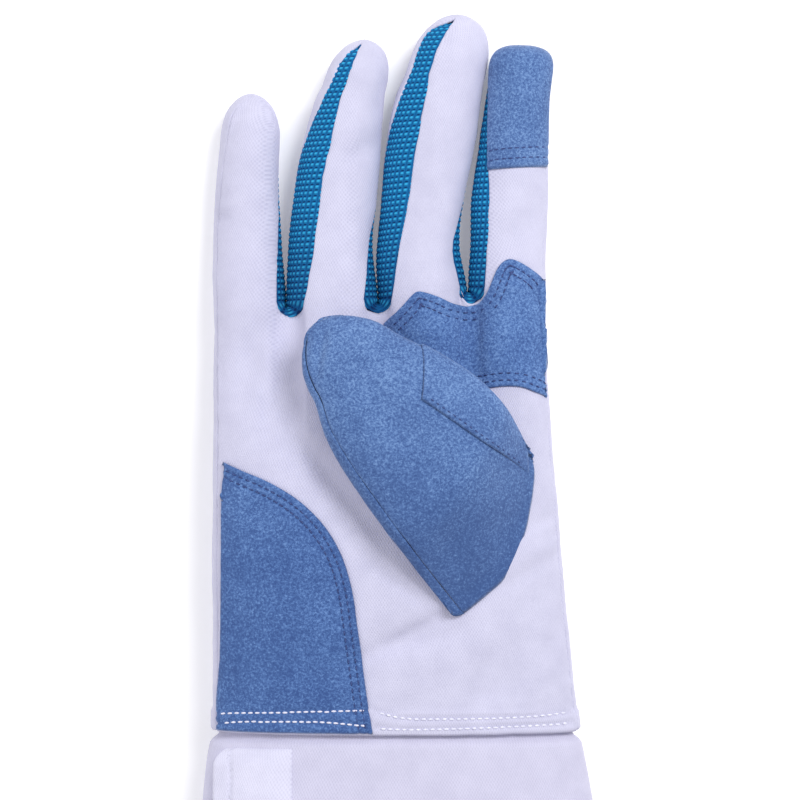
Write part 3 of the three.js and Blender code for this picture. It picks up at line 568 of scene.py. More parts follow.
def blue_mesh(name):
    """Air mesh: columns of loops on a UV map in metres. Each loop's raised top is painted lighter as a
    painted highlight, and the eye under it, the gaps between columns and the part near the crotch are painted
    darker as painted shade.
    """
    n = Nodes(name)
    u, v, _ = n.split(n.uv())
    fibre = n.grain(n.place(), 2400, 3)
    across = (u / MESH_ACROSS).maths("FRACT") - 0.5
    along = (v / MESH_ALONG).maths("FRACT") - 0.5
    wide = across / 0.4
    top = (along - 0.12) / 0.28
    low = (along + 0.32) / 0.16
    # Colour: the loop term is a painted highlight on each loop's top; the eye and between terms are painted
    # shade in the hole under the loop and in the gaps beside it.
    loop = 1 - n.fade((wide * wide + top * top).maths("SQRT") + (fibre - 0.5) * 0.5, 0.3, 1.1)
    eye = 1 - n.fade((wide * wide + low * low).maths("SQRT") + (fibre - 0.5) * 0.4, 0.4, 1.1)
    between = n.fade(across.maths("ABSOLUTE"), 0.34, 0.5)
    cloth = n.blend(loop * 0.85 + fibre * 0.15, rgb(8, 98, 160), rgb(56, 178, 228))
    # Painted shade: the mesh darkens towards low y, down in the crotch between the fingers.
    _, y, _ = n.split(n.place())
    deep = (1 - n.fade(y, 0.085, 0.125)) * 0.4
    colour = n.blend(eye * 0.95 + between * 0.4 + deep, cloth, rgb(2, 42, 92))
    normal = n.bump(loop - eye - between * 0.5 + fibre * 0.25, 0.6, 0.00035)
    return n.set(Base_Color=colour, Roughness=0.75, Specular_IOR_Level=0.15, Normal=normal)


def thread(name, colour, light):
    """Twisted sewing thread."""
    n = Nodes(name)
    strand = n.grain(n.place(), 2200, 2)
    tone = n.blend(n.fade(strand, 0.35, 0.65), rgb(*colour), rgb(*light))
    return n.set(Base_Color=tone, Roughness=0.6, Normal=n.bump(strand, 0.4, 0.0001))


KNIT = white_knit("white_knit", (211, 210, 233), (192, 191, 216))
CUFF_KNIT = white_knit("cuff_knit", (211, 209, 232), (193, 191, 215), 0.001)
# The flap's knit is a lighter copy of the cuff's knit: painted light, for the brighter light that falls on
# the flap.
FLAP_KNIT_PAINTED_LIGHT = white_knit("flap_knit", (225, 224, 245), (208, 207, 229), 0.001)
# The last number of each suede is how much painted shade darkens it towards the wrist end.
SUEDE = blue_suede("blue_suede", (120, 153, 202), (83, 116, 171), (54, 83, 138), 0.1)
DEEP_SUEDE = blue_suede("deep_suede", (118, 153, 206), (81, 116, 174), (50, 80, 138), 0.055)
MESH = blue_mesh("blue_mesh")
NAVY_THREAD = thread("navy_thread", (34, 50, 104), (62, 82, 142))
WHITE_THREAD = thread("white_thread", (214, 214, 238), (244, 244, 255))


# The hand's front and back
BLEND_START = 0.6
FINGER_GRID = 26
CROTCH_GRID = 8
ROWS_FINGER = 76
ROWS_PALM = 118
SPACING = denser_ends(0.72)
BODY_SEAM_LEFT = -math.asin(SEAM_LEFT ** (BODY_POWER / 2))
BODY_SEAM_RIGHT = math.asin(SEAM_RIGHT ** (BODY_POWER / 2))
SEAM_TUCK = 0.5
SEAM_LAP = 0.4
SEAM_ROLL = 0.9
HEM_EDGE = 0.4


def body_angle(x, y, lower=False):
    middle_x, half, *_ = body_shape(y)
    share = min(SEAM_RIGHT, max(-SEAM_LEFT, (x - middle_x) / half))
    angle = math.asin(signed(share, BODY_POWER / 2))
    return math.pi - angle if lower else angle


def front_span(finger, along):
    return finger_seam(finger, along, "front_left"), finger_seam(finger, along, "front_right")


def back_span(finger, along):
    return finger_seam(finger, along, "back_right"), 2 * math.pi + finger_seam(finger, along, "back_left")


def outer_angle(i, angle, span, point):
    below = body_angle(point.x, point.y, True)
    side = math.pi / 2
    if i == 3:
        if angle < side:
            return mix(BODY_SEAM_RIGHT, side, (angle - span[0]) / (side - span[0]))
        return mix(side, below, ease((angle - side) / side * 1.5))
    if i == 0:
        if angle > 3 * side:
            return mix(3 * side, 2 * math.pi + BODY_SEAM_LEFT, (angle - 3 * side) / (span[1] - 3 * side))
        return mix(3 * side, below, ease((3 * side - angle) / math.pi * 3))
    return below


def hand_columns(front):
    """Each column's top point on the line of the crotches, and the angle that it starts from."""
    columns = []
    order = (0, 1, 2, 3) if front else (3, 2, 1, 0)
    for i in order:
        finger = FINGERS[i]
        span = front_span(finger, 0) if front else back_span(finger, 0)
        for c in range(FINGER_GRID + 1):
            angle = mix(*span, SPACING(c / FINGER_GRID))
            top = finger_point(finger, 0, angle)
            start = body_angle(top.x, top.y) if front else outer_angle(i, angle, span, top)
            columns.append([top, start])
        for c in range(1, CROTCH_GRID):
            share = c / CROTCH_GRID
            if front and i < 3:
                top = crotch_point(i, share, "front")
            elif not front and i > 0:
                top = crotch_point(i - 1, 1 - share, "back")
            else:
                continue
            columns.append([top, body_angle(top.x, top.y, not front)])
    if front:
        columns[0][1] = BODY_SEAM_LEFT
        columns[-1][1] = BODY_SEAM_RIGHT
    return columns


def palm_point(column, v, front):
    """A point of the palm at share v from the wrist to the crotches."""
    top, angle = column
    at = max(0, (v * PALM_LENGTH - HEM_WIDTH) / (PALM_LENGTH - HEM_WIDTH))
    y = v * PALM_LENGTH if at == 0 else mix(HEM_WIDTH, top.y, at)
    puff = 1.4 * HEM_PUFF * hem_profile(y)
    x, z = section(*body_shape(y), angle, -puff)
    blend = ease((at - BLEND_START) / (1 - BLEND_START))
    if front:
        z -= dent_depth(x, y) * math.cos(angle) ** 2 * (1 - blend) * ease(y / HEM_WIDTH - 1)
        y -= HEM_HANG * max(0, math.cos(angle)) ** 0.6 * max(0, 1 - y / HEM_WIDTH)
    return in_frame(mix(x, top.x, blend), y, max(0, mix(z, top.z, blend)))


HEM_TOP = 5.6
HEM_TURN = 0.9
HEM_HANG = 0.8


def hem_profile(y):
    """The doubled hem stands proud and turns under at its lower edge."""
    return 1 - ease((y - HEM_TOP) / 1.8) - 0.9 * ease((HEM_TURN - y) / HEM_TURN) ** 2


def hand_panel(front):
    bm = bmesh.new()
    columns = hand_columns(front)
    last = len(columns) - 1
    rows = [ease_rows(v / ROWS_PALM) for v in range(ROWS_PALM + 1)]

    def palm_place(u, v):
        return palm_point(columns[round(u * last)], rows[round(v * ROWS_PALM)], front)

    lay_grid(bm, last, ROWS_PALM, palm_place)
    for finger in FINGERS:
        span = front_span if front else back_span

        def place(u, v, finger=finger, span=span):
            along = 2 * math.sin(v * math.pi / 2) ** 0.9 if v < 1 else 2
            return in_frame(*finger_point(finger, along, mix(*span(finger, min(along, 1.999)), u)))

        lay_grid(bm, FINGER_GRID, ROWS_FINGER, place, SPACING)
    weld(bm)
    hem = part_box("palm_panel")[0].y + HEM_EDGE * MM
    relax(bm, 12)
    poles = [in_frame(*finger_point(finger, 2, 0)) for finger in FINGERS]
    if not front:
        lap(bm, hem)
    near = roll_edges(bm, SEAM_ROLL, SEAM_ROLL / 2, skip=lambda point: point.y < hem, poles=poles)
    soften(bm, 0.35, 0.35, near)
    unroll(bm, SHIFT.x + body_shape(0)[0] * MM)
    return bm


def ease_rows(v):
    """Rows lie closer together at the hem and at the crotches."""
    return v - 0.045 * math.sin(2 * math.pi * v)


def lap(bm, hem):
    """Carries the sewn edges a little further, under those of the other panel."""
    out = {}
    for edge in bm.edges:
        a, b = edge.verts
        middle = (a.co + b.co) / 2
        if len(edge.link_faces) != 1 or middle.y < hem or edge.calc_length() == 0:
            continue
        away = middle - edge.link_faces[0].calc_center_median()
        along = (b.co - a.co).normalized()
        away = (away - along * away.dot(along)).normalized()
        for vert in (a, b):
            out[vert] = out.get(vert, Vector()) + away
    for vert, away in out.items():
        vert.co += away.normalized() * SEAM_LAP * MM
        vert.co.z = max(vert.co.z, 0)


def relax(bm, times):
    """Evens out the cloth between the middle of the palm and the crotches, away from the seams."""
    low, high = in_frame(0, 0.5 * PALM_LENGTH, 0).y, in_frame(0, 1.02 * PALM_LENGTH, 0).y
    near = edge_distance(bm, 3)
    free = [v for v in bm.verts if low < v.co.y < high and near[v] > 1.5]
    even_out(bm, free, times)


# Mesh strips: how far each bulges into its gap near the crotch, and where it ends along the finger
BULGES = (0.6, 0.6, 1.3)
BULGE_REACH = 0.35
STRIP_END = 1.66
STRIP_SINK = 0.7
STRIP_COLUMNS = 38
STRIP_STEPS = 200
CROTCH_STEPS = 24


def strip_stations(crotch):
    left, right = FINGERS[crotch], FINGERS[crotch + 1]
    steps = range(STRIP_STEPS)
    stations = [("finger", right, "left", STRIP_END * (1 - k / STRIP_STEPS)) for k in steps]
    stations += [("crotch", crotch, None, 1 - k / CROTCH_STEPS) for k in range(CROTCH_STEPS + 1)]
    return stations + [("finger", left, "right", STRIP_END * (k + 1) / STRIP_STEPS) for k in steps]


def bulge(finger, side, along):
    i = next(i for i, other in enumerate(FINGERS) if other is finger)
    out = BULGES[i] if side == "right" else -BULGES[i - 1]
    return out * ease(1 - along / BULGE_REACH)


def strip_curves(station):
    kind, what, side, along = station
    if kind == "crotch":
        front, back = [crotch_point(what, along, level) for level in ("front", "back")]
        return front, crotch_middle(what, along), back
    a = finger_seam(what, along, "front_" + side)
    b = finger_seam(what, along, "back_" + side)
    sunk = STRIP_SINK * ease((along - 1.4) / 0.25)
    front, middle, back = [finger_point(what, along, angle, sunk) for angle in (a, (a + b) / 2, b)]
    middle.x += bulge(what, side, along)
    return front, middle, back


def strip(name, crotch, node):
    """One mesh strip: up the side of one finger, round the crotch and up the side of the next."""
    bm = bmesh.new()
    curves = [strip_curves(station) for station in strip_stations(crotch)]
    columns, rows = STRIP_COLUMNS, len(curves) - 1
    length = [0.0]
    for before, after in zip(curves, curves[1:]):
        length.append(length[-1] + (before[1] - after[1]).length)

    def place(u, v):
        f, m, b = curves[round(v * rows)]
        margin = -SEAM_TUCK / max(3, (f - m).length + (m - b).length)
        s = mix(margin, 1 - margin, u)
        point = f * (1 - s) * (1 - 2 * s) + m * 4 * s * (1 - s) + b * s * (2 * s - 1)
        return in_frame(point.x, point.y, max(0, point.z))

    made = lay_grid(bm, columns, rows, place)
    where = {}
    for vert, (u, v) in zip(made, ((c / columns, r) for r in range(rows + 1) for c in range(columns + 1))):
        f, m, b = curves[v]
        where[vert] = ((u - 0.5) * ((f - m).length + (m - b).length), length[v])
    roll_edges(bm, 0.9, 0.55)
    soften(bm, 0.2)
    dimple(bm, where)
    layer = bm.loops.layers.uv.new("UVMap")
    for face in bm.faces:
        for loop in face.loops:
            a, b = where[loop.vert]
            loop[layer].uv = (a * MM, b * MM)
    piece(name, bm, MESH, [node], wall=MESH_WALL)


def dimple(bm, where):
    """Sinks the cloth between the loops of the mesh."""
    bm.normal_update()
    for vert, (u, v) in where.items():
        across = (u * MM / MESH_ACROSS) % 1 - 0.5
        along = (v * MM / MESH_ALONG) % 1 - 0.5
        reach = math.hypot(across / 0.46, (along - 0.1) / 0.42)
        vert.co -= vert.normal * 0.28 * MM * ease((reach - 0.5) / 0.6)


# What lies on the palm's front
class Curve:
    """A smooth curve in the glove's own plan, read by its share of length."""

    def __init__(self, *points):
        ends = [points[0], *points, points[-1]]
        self.line = []
        for p, q, r, s in zip(ends, ends[1:], ends[2:], ends[3:]):
            for k in range(12):
                t = k / 12
                self.line.append(tuple(self.smooth(t, *four) for four in zip(p, q, r, s)))
        self.line.append(points[-1])
        self.run = [0.0]
        for a, b in zip(self.line, self.line[1:]):
            self.run.append(self.run[-1] + math.dist(a, b))

    @staticmethod
    def smooth(t, p, q, r, s):
        return q + t * ((r - p) + t * ((2 * p - 5 * q + 4 * r - s) + t * (3 * (q - r) + s - p))) / 2

    def at(self, share):
        want = share * self.run[-1]
        i = min(len(self.run) - 2, max(0, bisect(self.run, want) - 1))
        t = (want - self.run[i]) / (self.run[i + 1] - self.run[i])
        return tuple(mix(a, b, t) for a, b in zip(self.line[i], self.line[i + 1]))

    def beside(self, share, distance):
        """A point at a distance to the left of the curve, and the curve's direction there."""
        x, y = self.at(share)
        (ax, ay), (bx, by) = self.at(max(0, share - 0.01)), self.at(min(1, share + 0.01))
        direction = Vector((bx - ax, by - ay, 0)).normalized()
        return x - direction.y * distance, y + direction.x * distance, direction

    @property
    def length(self):
        return self.run[-1]


def surface_under(tree, x, y):
    """The surface point and its normal below a place given in the glove's own millimetres."""
    start = in_frame(x, y, 100)
    hit, normal, _, _ = tree.ray_cast(start, Vector((0, 0, -1)))
    if hit is None:
        hit, normal, _, _ = tree.find_nearest(in_frame(x, y, PALM_HEIGHT * 0.6))
    return hit, normal


STITCH_ROWS = (2.5, 4.7)
STITCH_DIP = 0.28
STITCH_STAND = 0.25


def sink_rows(distance, rows=STITCH_ROWS, depth=STITCH_DIP):
    """How far the rows of stitches pull a patch down at a distance from its sewn edge."""
    return sum(depth * math.exp(-((distance - row) / 0.75) ** 2) for row in rows)


def press_rows(bm, edges, rows=STITCH_ROWS, depth=STITCH_DIP):
    """Sinks rows of stitches that run beside the given curves."""
    points = [in_frame(*curve.at(k / 400), 0) for curve in edges for k in range(401)]
    tree = point_tree(points)
    bm.normal_update()
    for vert in bm.verts:
        flat = Vector((vert.co.x, vert.co.y, 0))
        vert.co -= vert.normal * sink_rows(tree.find(flat)[2] / MM, rows, depth) * MM


def drape_patch(tree, columns, rows, plan, lift):
    """A patch laid on a surface: plan gives its place by two shares, lift is its top over the surface."""
    bm = bmesh.new()

    def place(u, v):
        hit, normal = surface_under(tree, *plan(u, v))
        return hit + normal * lift * MM

    lay_grid(bm, columns, rows, place)
    even_out(bm, bm.verts, 2)
    return bm


def wear(bm, near, swell=0.12, creases=()):
    """Slight unevenness of suede, more along its cut edge."""
    bm.normal_update()
    for vert in bm.verts:
        own = own_place(vert)
        move = swell * noise.noise(own / 9) + 0.4 * swell * noise.noise(own / 2.2)
        if near[vert] < 1.4:
            move -= 0.3 * (1 - near[vert] / 1.4) ** 2
        if creases:
            move -= crease_depth(own.x, own.y, creases) * ease(vert.normal.z * 1.6)
        vert.co += vert.normal * move * MM


def stitches(name, paths, material, length, width):
    """Rows of stitches. A path is a list of surface points with their normals, a pitch apart."""
    bm = bmesh.new()
    for path in paths:
        for (a, up, _), (b, _, _) in zip(path, path[1:]):
            along = (b - a).normalized()
            across = up.cross(along).normalized()
            turn = Matrix((along, across, along.cross(across))).transposed().to_4x4()
            size = Matrix.Diagonal((length * MM, width * MM, width * MM, 1))
            middle = Matrix.Translation(a.lerp(b, 0.5) + up * width * STITCH_STAND * MM)
            bmesh.ops.create_uvsphere(bm, u_segments=8, v_segments=5, radius=0.5, matrix=middle @ turn @ size)
    piece(name, bm, material)


def finish_patch(name, node, bm, material, roll, *presses):
    """Rolls a patch's edges, presses its rows of stitches, wears it, and gives back its top surface."""
    near = roll_edges(bm, *roll)
    for press in presses:
        press_rows(bm, *press)
    wear(bm, near)
    top = BVHTree.FromBMesh(bm)
    piece(name, bm, material, [node], wall=PATCH_WALL)
    return top


def path_beside(curve, distance, tree, pitch, start=0.0, end=1.0):
    """Surface points at stitch pitch beside a plan curve."""
    count = max(2, round(curve.length * (end - start) / pitch))
    path = []
    for k in range(count + 1):
        x, y, direction = curve.beside(mix(start, end, k / count), distance)
        path.append((*surface_under(tree, x, y), direction))
    return path


# Heel patch, from the wrist up to where its curved edge meets the side seam
HEEL_EDGE = Curve((-8, -0.45), (-9.6, 9), (-11.4, 22), (-13, 34), (-14.6, 45), (-17.6, 55.4), (-22.8, 64.6),
                  (-30.4, 72.6), (-40, 78.8), (-50.6, 83.4), (-56, 85.8))
HEEL_SIDE = Curve((-58.6, 0), (-58.4, 10), (-57.2, 24), (-56.8, 45), (-56.5, 64), (-56.3, 76.5))
HEM_BLUES = (Curve((-59, 2.3), (-50, 3.2), (-32, 3.7), (-18, 3.1), (-9.5, 2.2)),
             Curve((-58, 5.2), (-52, 6), (-32, 6.6), (-20, 6.9), (-10, 7.2)))
PATCH_LIFT = 1.1
PATCH_ROLL = (0.5, 0.35)


def heel_plan(u, v):
    a, b = HEEL_SIDE.at(v), HEEL_EDGE.at(v)
    return mix(a[0], b[0], u), mix(a[1], b[1], u)


def heel_patch(tree):
    bm = drape_patch(tree, 64, 96, heel_plan, PATCH_LIFT)
    hem_press = (HEM_BLUES, (0,), 0.7)
    top = finish_patch("heel_patch_suede", "heel_patch", bm, DEEP_SUEDE, PATCH_ROLL, [[HEEL_EDGE]], hem_press)
    rows = [path_beside(HEEL_EDGE, row, top, 2.3, 0.02, 0.985) for row in STITCH_ROWS]
    stitches("heel_stitches", rows, NAVY_THREAD, 1.7, 0.5)
    hem = [path_beside(curve, 0, top, 2.15, 0.02, 0.98) for curve in HEM_BLUES]
    stitches("heel_hem_stitches", hem, WHITE_THREAD, 1.75, 0.7)


# Web patch, across the base of the middle and index fingers
WEB_TOP = Curve((-5.5, 129), (-1, 133.1), (4.2, 138.9), (6.4, 139.7), (11.8, 138.2), (17, 135.9), (22, 135.2),
                (25.4, 135.9), (27.8, 139.2), (30.7, 146.6), (32.6, 149.1), (34.9, 150.1), (37.8, 149.2),
                (42, 146.6), (45.2, 143.9), (46.6, 141.2))
WEB_BOTTOM = Curve((-4, 124), (4, 115), (14, 108.5), (24, 107.8), (32, 108.8), (38, 108.6), (42.6, 107),
                   (47.4, 105.2))


def web_patch(tree):
    def plan(u, v):
        a, b = WEB_BOTTOM.at(u), WEB_TOP.at(u)
        return mix(a[0], b[0], v), mix(a[1], b[1], v)

    bm = drape_patch(tree, 90, 56, plan, PATCH_LIFT)
    edges = [WEB_TOP, WEB_BOTTOM]
    top = finish_patch("web_patch_suede", "web_patch", bm, DEEP_SUEDE, PATCH_ROLL, [edges])
    rows = [path_beside(WEB_TOP, -row, top, 2.2, 0.03, 0.98) for row in STITCH_ROWS]
    rows += [path_beside(WEB_BOTTOM, row, top, 2.2, 0.3, 0.97) for row in STITCH_ROWS]
    stitches("web_stitches", rows, NAVY_THREAD, 1.6, 0.5)


# Cap over the index finger's tip
CAP_START = 0.55
CAP_TILT = 0.018
CAP_LIFT = 1.3
CAP_ROWS = (2.7, 5.9)
CAP_EDGE = Curve((27.5, 178.5), (37, 179.2), (47.5, 179.9))


def index_cap():
    bm = bmesh.new()

    def place(u, v):
        along = mix(CAP_START + CAP_TILT * (u - 0.5), 2, v)
        angle = mix(*front_span(INDEX, min(along, 1.999)), u)
        return in_frame(*finger_point(INDEX, along, angle, -CAP_LIFT))

    lay_grid(bm, 34, 90, place, SPACING)
    weld(bm)
    top = finish_patch("index_cap_suede", "index_tip_cap", bm, SUEDE, (0.7, 0.5), ([CAP_EDGE], CAP_ROWS))
    rows = [path_beside(CAP_EDGE, row, top, 2.2, 0.02, 0.98) for row in CAP_ROWS]
    stitches("cap_stitches", rows, NAVY_THREAD, 1.6, 0.5)


# Thumb: its base is placed by shares of the palm. START says where the sewn edge lies along the axis,
# in shares of the thumb's length, from its inner side (low) to its outer side (low + rise).
THUMB_BASE = dict(x=0.877, y=0.392)
THUMB_X = PALM_LEFT + THUMB_BASE["x"] * PALM_BREADTH
THUMB_Y = THUMB_BASE["y"] * PALM_LENGTH
DOME_AT = THUMB_LENGTH * THUMB_DOME
START = dict(low=-0.04, rise=0.22, power=1.6, inner=-0.115, across=0.604)


def rest_height(x, y):
    _, _, middle, rise, power = body_shape(y)
    angle = body_angle(x, y)
    dent = dent_depth(x, y) * math.cos(angle) ** 2 * ease(y / HEM_WIDTH - 1)
    return middle + rise * signed(math.cos(angle), 2 / power) - dent


def thumb_plan(forward, sideways):
    x = THUMB_X - forward * math.sin(THUMB_LEAN) + sideways * math.cos(THUMB_LEAN)
    y = THUMB_Y + forward * math.cos(THUMB_LEAN) + sideways * math.sin(THUMB_LEAN)
    return x, y


def thumb_start(angle):
    """How far along its axis the thumb's sewn edge lies at an angle round it."""
    half, shift = (read(THUMB_ROWS, 0, name) * THUMB_BREADTH for name in ("half", "shift"))
    share = max(0, ((half * math.sin(angle) + shift) / THUMB_BREADTH - START["inner"]) / START["across"])
    forward = THUMB_LENGTH * (START["low"] + START["rise"] * share ** START["power"])
    return forward + THUMB_LOOP * ((1 - math.cos(angle)) / 2) ** 3


def thumb_point(along, angle, inset=0):
    round_off, narrow = dome(along, THUMB_POWER)
    if along <= 1:
        forward = mix(thumb_start(angle), DOME_AT, along)
    else:
        forward = DOME_AT + (THUMB_LENGTH - DOME_AT - inset) * round_off
    at = max(0, forward / THUMB_LENGTH)
    half = (read(THUMB_ROWS, at, "half") * THUMB_BREADTH - inset) * narrow
    sideways = read(THUMB_ROWS, at, "shift") * THUMB_BREADTH + half * math.sin(angle)
    thick = THUMB_HEIGHT * read(THUMB_ROWS, at, "height") / 2
    x, y = thumb_plan(forward, sideways)
    clear = mix(0.3 + math.sin(angle) ** 2, THUMB_CLEARANCE, ease(along / 0.15))
    rise = ease(along / 0.4) * (thick + (thick - inset) * narrow * math.cos(angle))
    return Vector((x, y, rest_height(x, y) + clear + rise))


def cut_thumb_hole(bm):
    """Opens the palm's front under the thumb, inside the loop that the thumb is sewn to."""
    loop = [thumb_point(0, math.radians(a)) for a in range(0, 360, 10)]
    middle = sum(loop, Vector()) / len(loop)
    loop = [point.lerp(middle, 0.16) for point in loop]
    doomed = []
    for face in bm.faces:
        x, y, _ = (face.calc_center_median() - SHIFT) / MM
        inside = False
        for a, b in zip(loop, loop[1:] + loop[:1]):
            if (a.y > y) != (b.y > y) and x < a.x + (y - a.y) / (b.y - a.y) * (b.x - a.x):
                inside = not inside
        if inside:
            doomed.append(face)
    bmesh.ops.delete(bm, geom=doomed, context="FACES")


def thumb_angle(along, start, end, share):
    near_tip = ease((along - 1) / 0.85)
    pole = THUMB_POLE + (180 if start > 0 else 0)
    return math.radians(mix(mix(start, pole, near_tip), mix(end, pole + 180, near_tip), share))


THUMB_LAP = 0.8


def thumb_half(name, node, start, end):
    """Half of the thumb between two seams round it. Its seam edges lap a little under the other half's."""
    bm = bmesh.new()
    base = [in_frame(*thumb_point(0, math.radians(angle))) for angle in range(0, 360, 4)]
    lies_on_palm = node == "thumb_back"

    def at_base(spot):
        return lies_on_palm and min((spot - point).length for point in base) < 1.3 * MM

    def place(u, v):
        along = 2 * v
        lap = THUMB_LAP * (1 - ease((along - 0.9) / 0.5))
        return in_frame(*thumb_point(along, thumb_angle(along, start - lap, end + lap, u)))

    lay_grid(bm, 64, 120, place, denser_ends(0.6))
    weld(bm)
    near = roll_edges(bm, 0.8, 0.25, at_base, [in_frame(*thumb_point(2, 0))])
    wear(bm, near, 0.25, THUMB_CREASES)
    piece(name, bm, SUEDE, [node], wall=SUEDE_WALL)


# Thumb patch: its long edge in shares of the thumb's length and breadth, its outer side from far to near
THUMB_PATCH = table(("at", "inner", "side"), (0, 0.59, 0.2165), (0.25, 0.488, 0.264), (0.5, 0.375, 0.315),
                    (0.75, 0.268, 0.365), (1, 0.171, 0.4))
PATCH_FAR = 0.73
PATCH_NEAR = 0.24
PATCH_SIDE = math.radians(86)
THUMB_PATCH_LIFT = 1.3
THUMB_PATCH_SIDE_LIFT = 1.05


def thumb_patch():
    """Second layer on the thumb, from a long straight edge on its top to its outer side."""
    bm = bmesh.new()

    def place(u, v):
        inner, side = read(THUMB_PATCH, v, "inner"), read(THUMB_PATCH, v, "side")
        half, shift = read(THUMB_ROWS, inner, "half"), read(THUMB_ROWS, inner, "shift")
        start = (side - shift) / half
        angle = mix(math.asin(start), PATCH_SIDE, u)
        share = (math.sin(angle) - start) / (math.sin(PATCH_SIDE) - start)
        forward = THUMB_LENGTH * mix(inner, mix(PATCH_FAR, PATCH_NEAR, v), share)
        sewn = thumb_start(angle)
        along = max(0.06, (forward - sewn) / (DOME_AT - sewn))
        return in_frame(*thumb_point(along, angle, -mix(THUMB_PATCH_LIFT, THUMB_PATCH_SIDE_LIFT, u)))

    lay_grid(bm, 40, 90, place)
    bmesh.ops.reverse_faces(bm, faces=bm.faces)
    top = finish_patch("thumb_patch_suede", "thumb_patch", bm, SUEDE, (0.5, 0.3))
    inner_edge = [thumb_plan(THUMB_LENGTH * row["inner"], THUMB_BREADTH * row["side"]) for row in THUMB_PATCH]
    long_edge = Curve(*inner_edge)
    rows = [path_beside(long_edge, 2, top, 2.1, 0.05, 0.9)]
    stitches("thumb_patch_stitches", rows, NAVY_THREAD, 1.2, 0.4)


# Cuff and its flap. Below the hem the cuff swells by CUFF_SWELL over about SWELL_REACH.
FLAP_EDGE = PALM_LEFT + 2.3
SLIT_WIDTH = 1.6
CUFF_SWELL = 1.7
SWELL_REACH = 14
CUFF_LEAN = 0.01


def cuff_shape(y):
    wrist_x, wrist_half, wrist_middle, wrist_rise, power = body_shape(max(0, y))
    tucked = (KNIT_WALL + TUCK_GAP) * (1 - ease((-y - TUCK_GAP - 0.2) / 3))
    at = max(0, -y) / CUFF_LENGTH
    swell = CUFF_SWELL * (1 - math.exp(min(0, y + TUCK_GAP) / SWELL_REACH)) * (1 - at)
    half = mix(wrist_half, CUFF_MOUTH / 2, at) - tucked + swell
    height = mix(wrist_middle + wrist_rise, CUFF_MOUTH_HEIGHT, at)
    x = mix(wrist_x, CUFF_LEAN * CUFF_MOUTH, at)
    return x, half, height * (1 - CROWN_SHARE), height * CROWN_SHARE - tucked, power, tucked


def cuff_point(y, angle, inset):
    x, half, middle, rise, power, floor = cuff_shape(y)
    x, z = section(x, half, middle, rise, power, angle, inset)
    return Vector((x, y, max(z, floor + max(0, inset))))


def cuff_angle(y, x):
    middle, half, _, _, power, _ = cuff_shape(y)
    return math.asin(signed(min(0.99, max(-0.99, (x - middle) / half)), power / 2))


def drape(bm, deepest):
    """Long soft folds that run down the cuff from the hem."""
    bm.normal_update()
    for vert in bm.verts:
        own = own_place(vert)
        down = ease(-own.y / 30)
        wave = noise.noise(Vector((own.x / 13, own.y / 90, own.z / 30)))
        vert.co -= vert.normal * deepest * down * max(0, 0.5 + wave) * MM
        vert.co.z = max(0, vert.co.z)


def cuff():
    bm = bmesh.new()

    def place(u, v):
        y = mix(-CUFF_LENGTH, CUFF_TUCK, v)
        slit = cuff_angle(y, FLAP_EDGE + FLAP_BREADTH * 0.4)
        opening = 0 if y > -FLAP_DROP - 2 else SLIT_WIDTH / PALM_HEIGHT
        return in_frame(*cuff_point(y, mix(slit + opening, slit + 2 * math.pi - opening, u), 0))

    lay_grid(bm, 260, 130, place)
    weld(bm)
    drape(bm, 1.1)
    soften(bm, 0.2)
    unroll(bm, SHIFT.x)
    piece("cuff_knit", bm, CUFF_KNIT, ["cuff"], wall=CUFF_WALL)


FLAP_RISE = 2.1
FLAP_CORNER = 4.5


def flap():
    """The closure's upper layer: free along its left edge, one with the cuff at its right edge and top."""
    bm = bmesh.new()
    top, end = -FLAP_DROP, -FLAP_DROP - FLAP_LENGTH

    def place(u, v):
        y = mix(end, top, v)
        x = mix(FLAP_EDGE, FLAP_EDGE + FLAP_BREADTH, u)
        for corner in (top, end):
            depth = FLAP_CORNER - abs(y - corner)
            if depth > 0:
                side = FLAP_EDGE + FLAP_CORNER - math.sqrt(max(0, FLAP_CORNER ** 2 - depth ** 2))
                x = mix(side, FLAP_EDGE + FLAP_BREADTH, u)
        rise = ease((1 - u) / 0.3) * ease((top - y) / 6)
        return in_frame(*cuff_point(y, cuff_angle(y, x), -0.3 - FLAP_RISE * rise))

    lay_grid(bm, 36, 170, place)
    roll_edges(bm, 1.2, 0.9)
    press_strip(bm)
    unroll(bm, SHIFT.x)
    piece("flap_knit", bm, FLAP_KNIT_PAINTED_LIGHT, ["closure_flap"], wall=CUFF_WALL)


STRIP_LEFT = -54.1


def press_strip(bm):
    """The zigzag seam that holds the hook strip under the flap shows as a shallow groove."""
    bm.normal_update()
    for vert in bm.verts:
        own = own_place(vert)
        zigzag = 0.7 * abs((own.y / 2.4) % 1 * 2 - 1)
        groove = math.exp(-((own.x - STRIP_LEFT - zigzag) / 0.45) ** 2)
        vert.co -= vert.normal * 0.8 * groove * MM


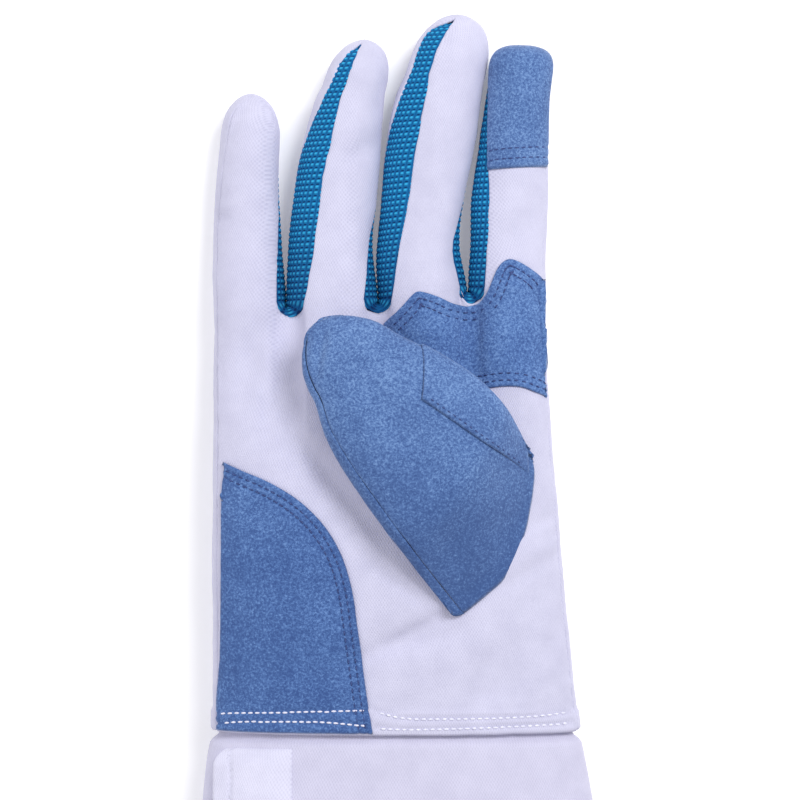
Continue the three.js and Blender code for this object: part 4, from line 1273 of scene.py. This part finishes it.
front = hand_panel(True)
HEM_WHITES = (Curve((-7.6, 1.6), (1.6, 1.1), (15, 1.3), (30, 1.7), (48, 2.2), (54.5, 2.6)),
              Curve((-8, 6.7), (1.6, 4.7), (14.4, 4.5), (38, 4.8), (54, 5.9)))
press_rows(front, HEM_WHITES, rows=(0,), depth=0.8)
FRONT_TREE = BVHTree.FromBMesh(front)
hem_paths = [path_beside(curve, 0, FRONT_TREE, 2.2, 0.02, 0.98) for curve in HEM_WHITES]
stitches("hem_stitches", hem_paths, WHITE_THREAD, 1.7, 0.75)
heel_patch(FRONT_TREE)
web_patch(FRONT_TREE)
cut_thumb_hole(front)
piece("palm_panel_knit", front, KNIT, ["palm_panel"], wall=KNIT_WALL)
piece("back_panel_knit", hand_panel(False), KNIT, ["back_panel"], wall=KNIT_WALL)
strip("fourchette_little_ring_mesh", 0, "fourchette_little_ring")
strip("fourchette_ring_middle_mesh", 1, "fourchette_ring_middle")
strip("fourchette_middle_index_mesh", 2, "fourchette_middle_index")
index_cap()
thumb_half("thumb_front_suede", "thumb_front", THUMB_SEAM_LEFT, THUMB_SEAM_RIGHT)
thumb_half("thumb_back_suede", "thumb_back", THUMB_SEAM_RIGHT, THUMB_SEAM_LEFT + 360)
thumb_patch()
cuff()
flap()


# Floor, light and camera
def stage():
    bm = bmesh.new()
    bmesh.ops.create_grid(bm, x_segments=1, y_segments=1, size=3)
    mesh = bpy.data.meshes.new("table")
    bm.to_mesh(mesh)
    bm.free()
    floor = bpy.data.objects.new("table", mesh)
    bpy.context.scene.collection.objects.link(floor)
    floor.location.z = -0.0002
    n = Nodes("table_white")
    mesh.materials.append(n.set(Base_Color=(0.95, 0.95, 0.95, 1), Roughness=0.9,
                                Emission_Color=(1, 1, 1, 1), Emission_Strength=0.16))


def area_light(name, place, target, size, power):
    data = bpy.data.lights.new(name, "AREA")
    data.shape = "DISK"
    data.size = size
    data.energy = power
    lamp = bpy.data.objects.new(name, data)
    bpy.context.scene.collection.objects.link(lamp)
    lamp.location = place
    lamp.rotation_euler = (Vector(target) - Vector(place)).to_track_quat("-Z", "Y").to_euler()


def light():
    world = bpy.data.worlds.new("studio")
    bpy.context.scene.world = world
    world.use_nodes = True
    background = world.node_tree.nodes["Background"]
    background.inputs[0].default_value = (0.99, 0.985, 1.0, 1)
    background.inputs[1].default_value = 0.6
    area_light("key", (0.5, 0.6, 1.0), (0, 0.05, 0), 0.55, 9.5)
    area_light("fill", (-0.95, -0.1, 0.85), (0, 0.05, 0), 0.9, 3.6)


PHOTO_WIDTH = 0.256
PHOTO_MIDDLE = (0, 105)
VIEW_HEIGHT = 12


def camera():
    data = bpy.data.cameras.new("camera")
    data.lens = 150
    data.sensor_width = 36
    view = bpy.data.objects.new("camera", data)
    bpy.context.scene.collection.objects.link(view)
    distance = PHOTO_WIDTH * data.lens / data.sensor_width
    view.location = in_frame(*PHOTO_MIDDLE, VIEW_HEIGHT) + Vector((0, 0, distance))
    bpy.context.scene.camera = view


stage()
light()
camera()
bpy.context.scene.view_settings.view_transform = "Standard"
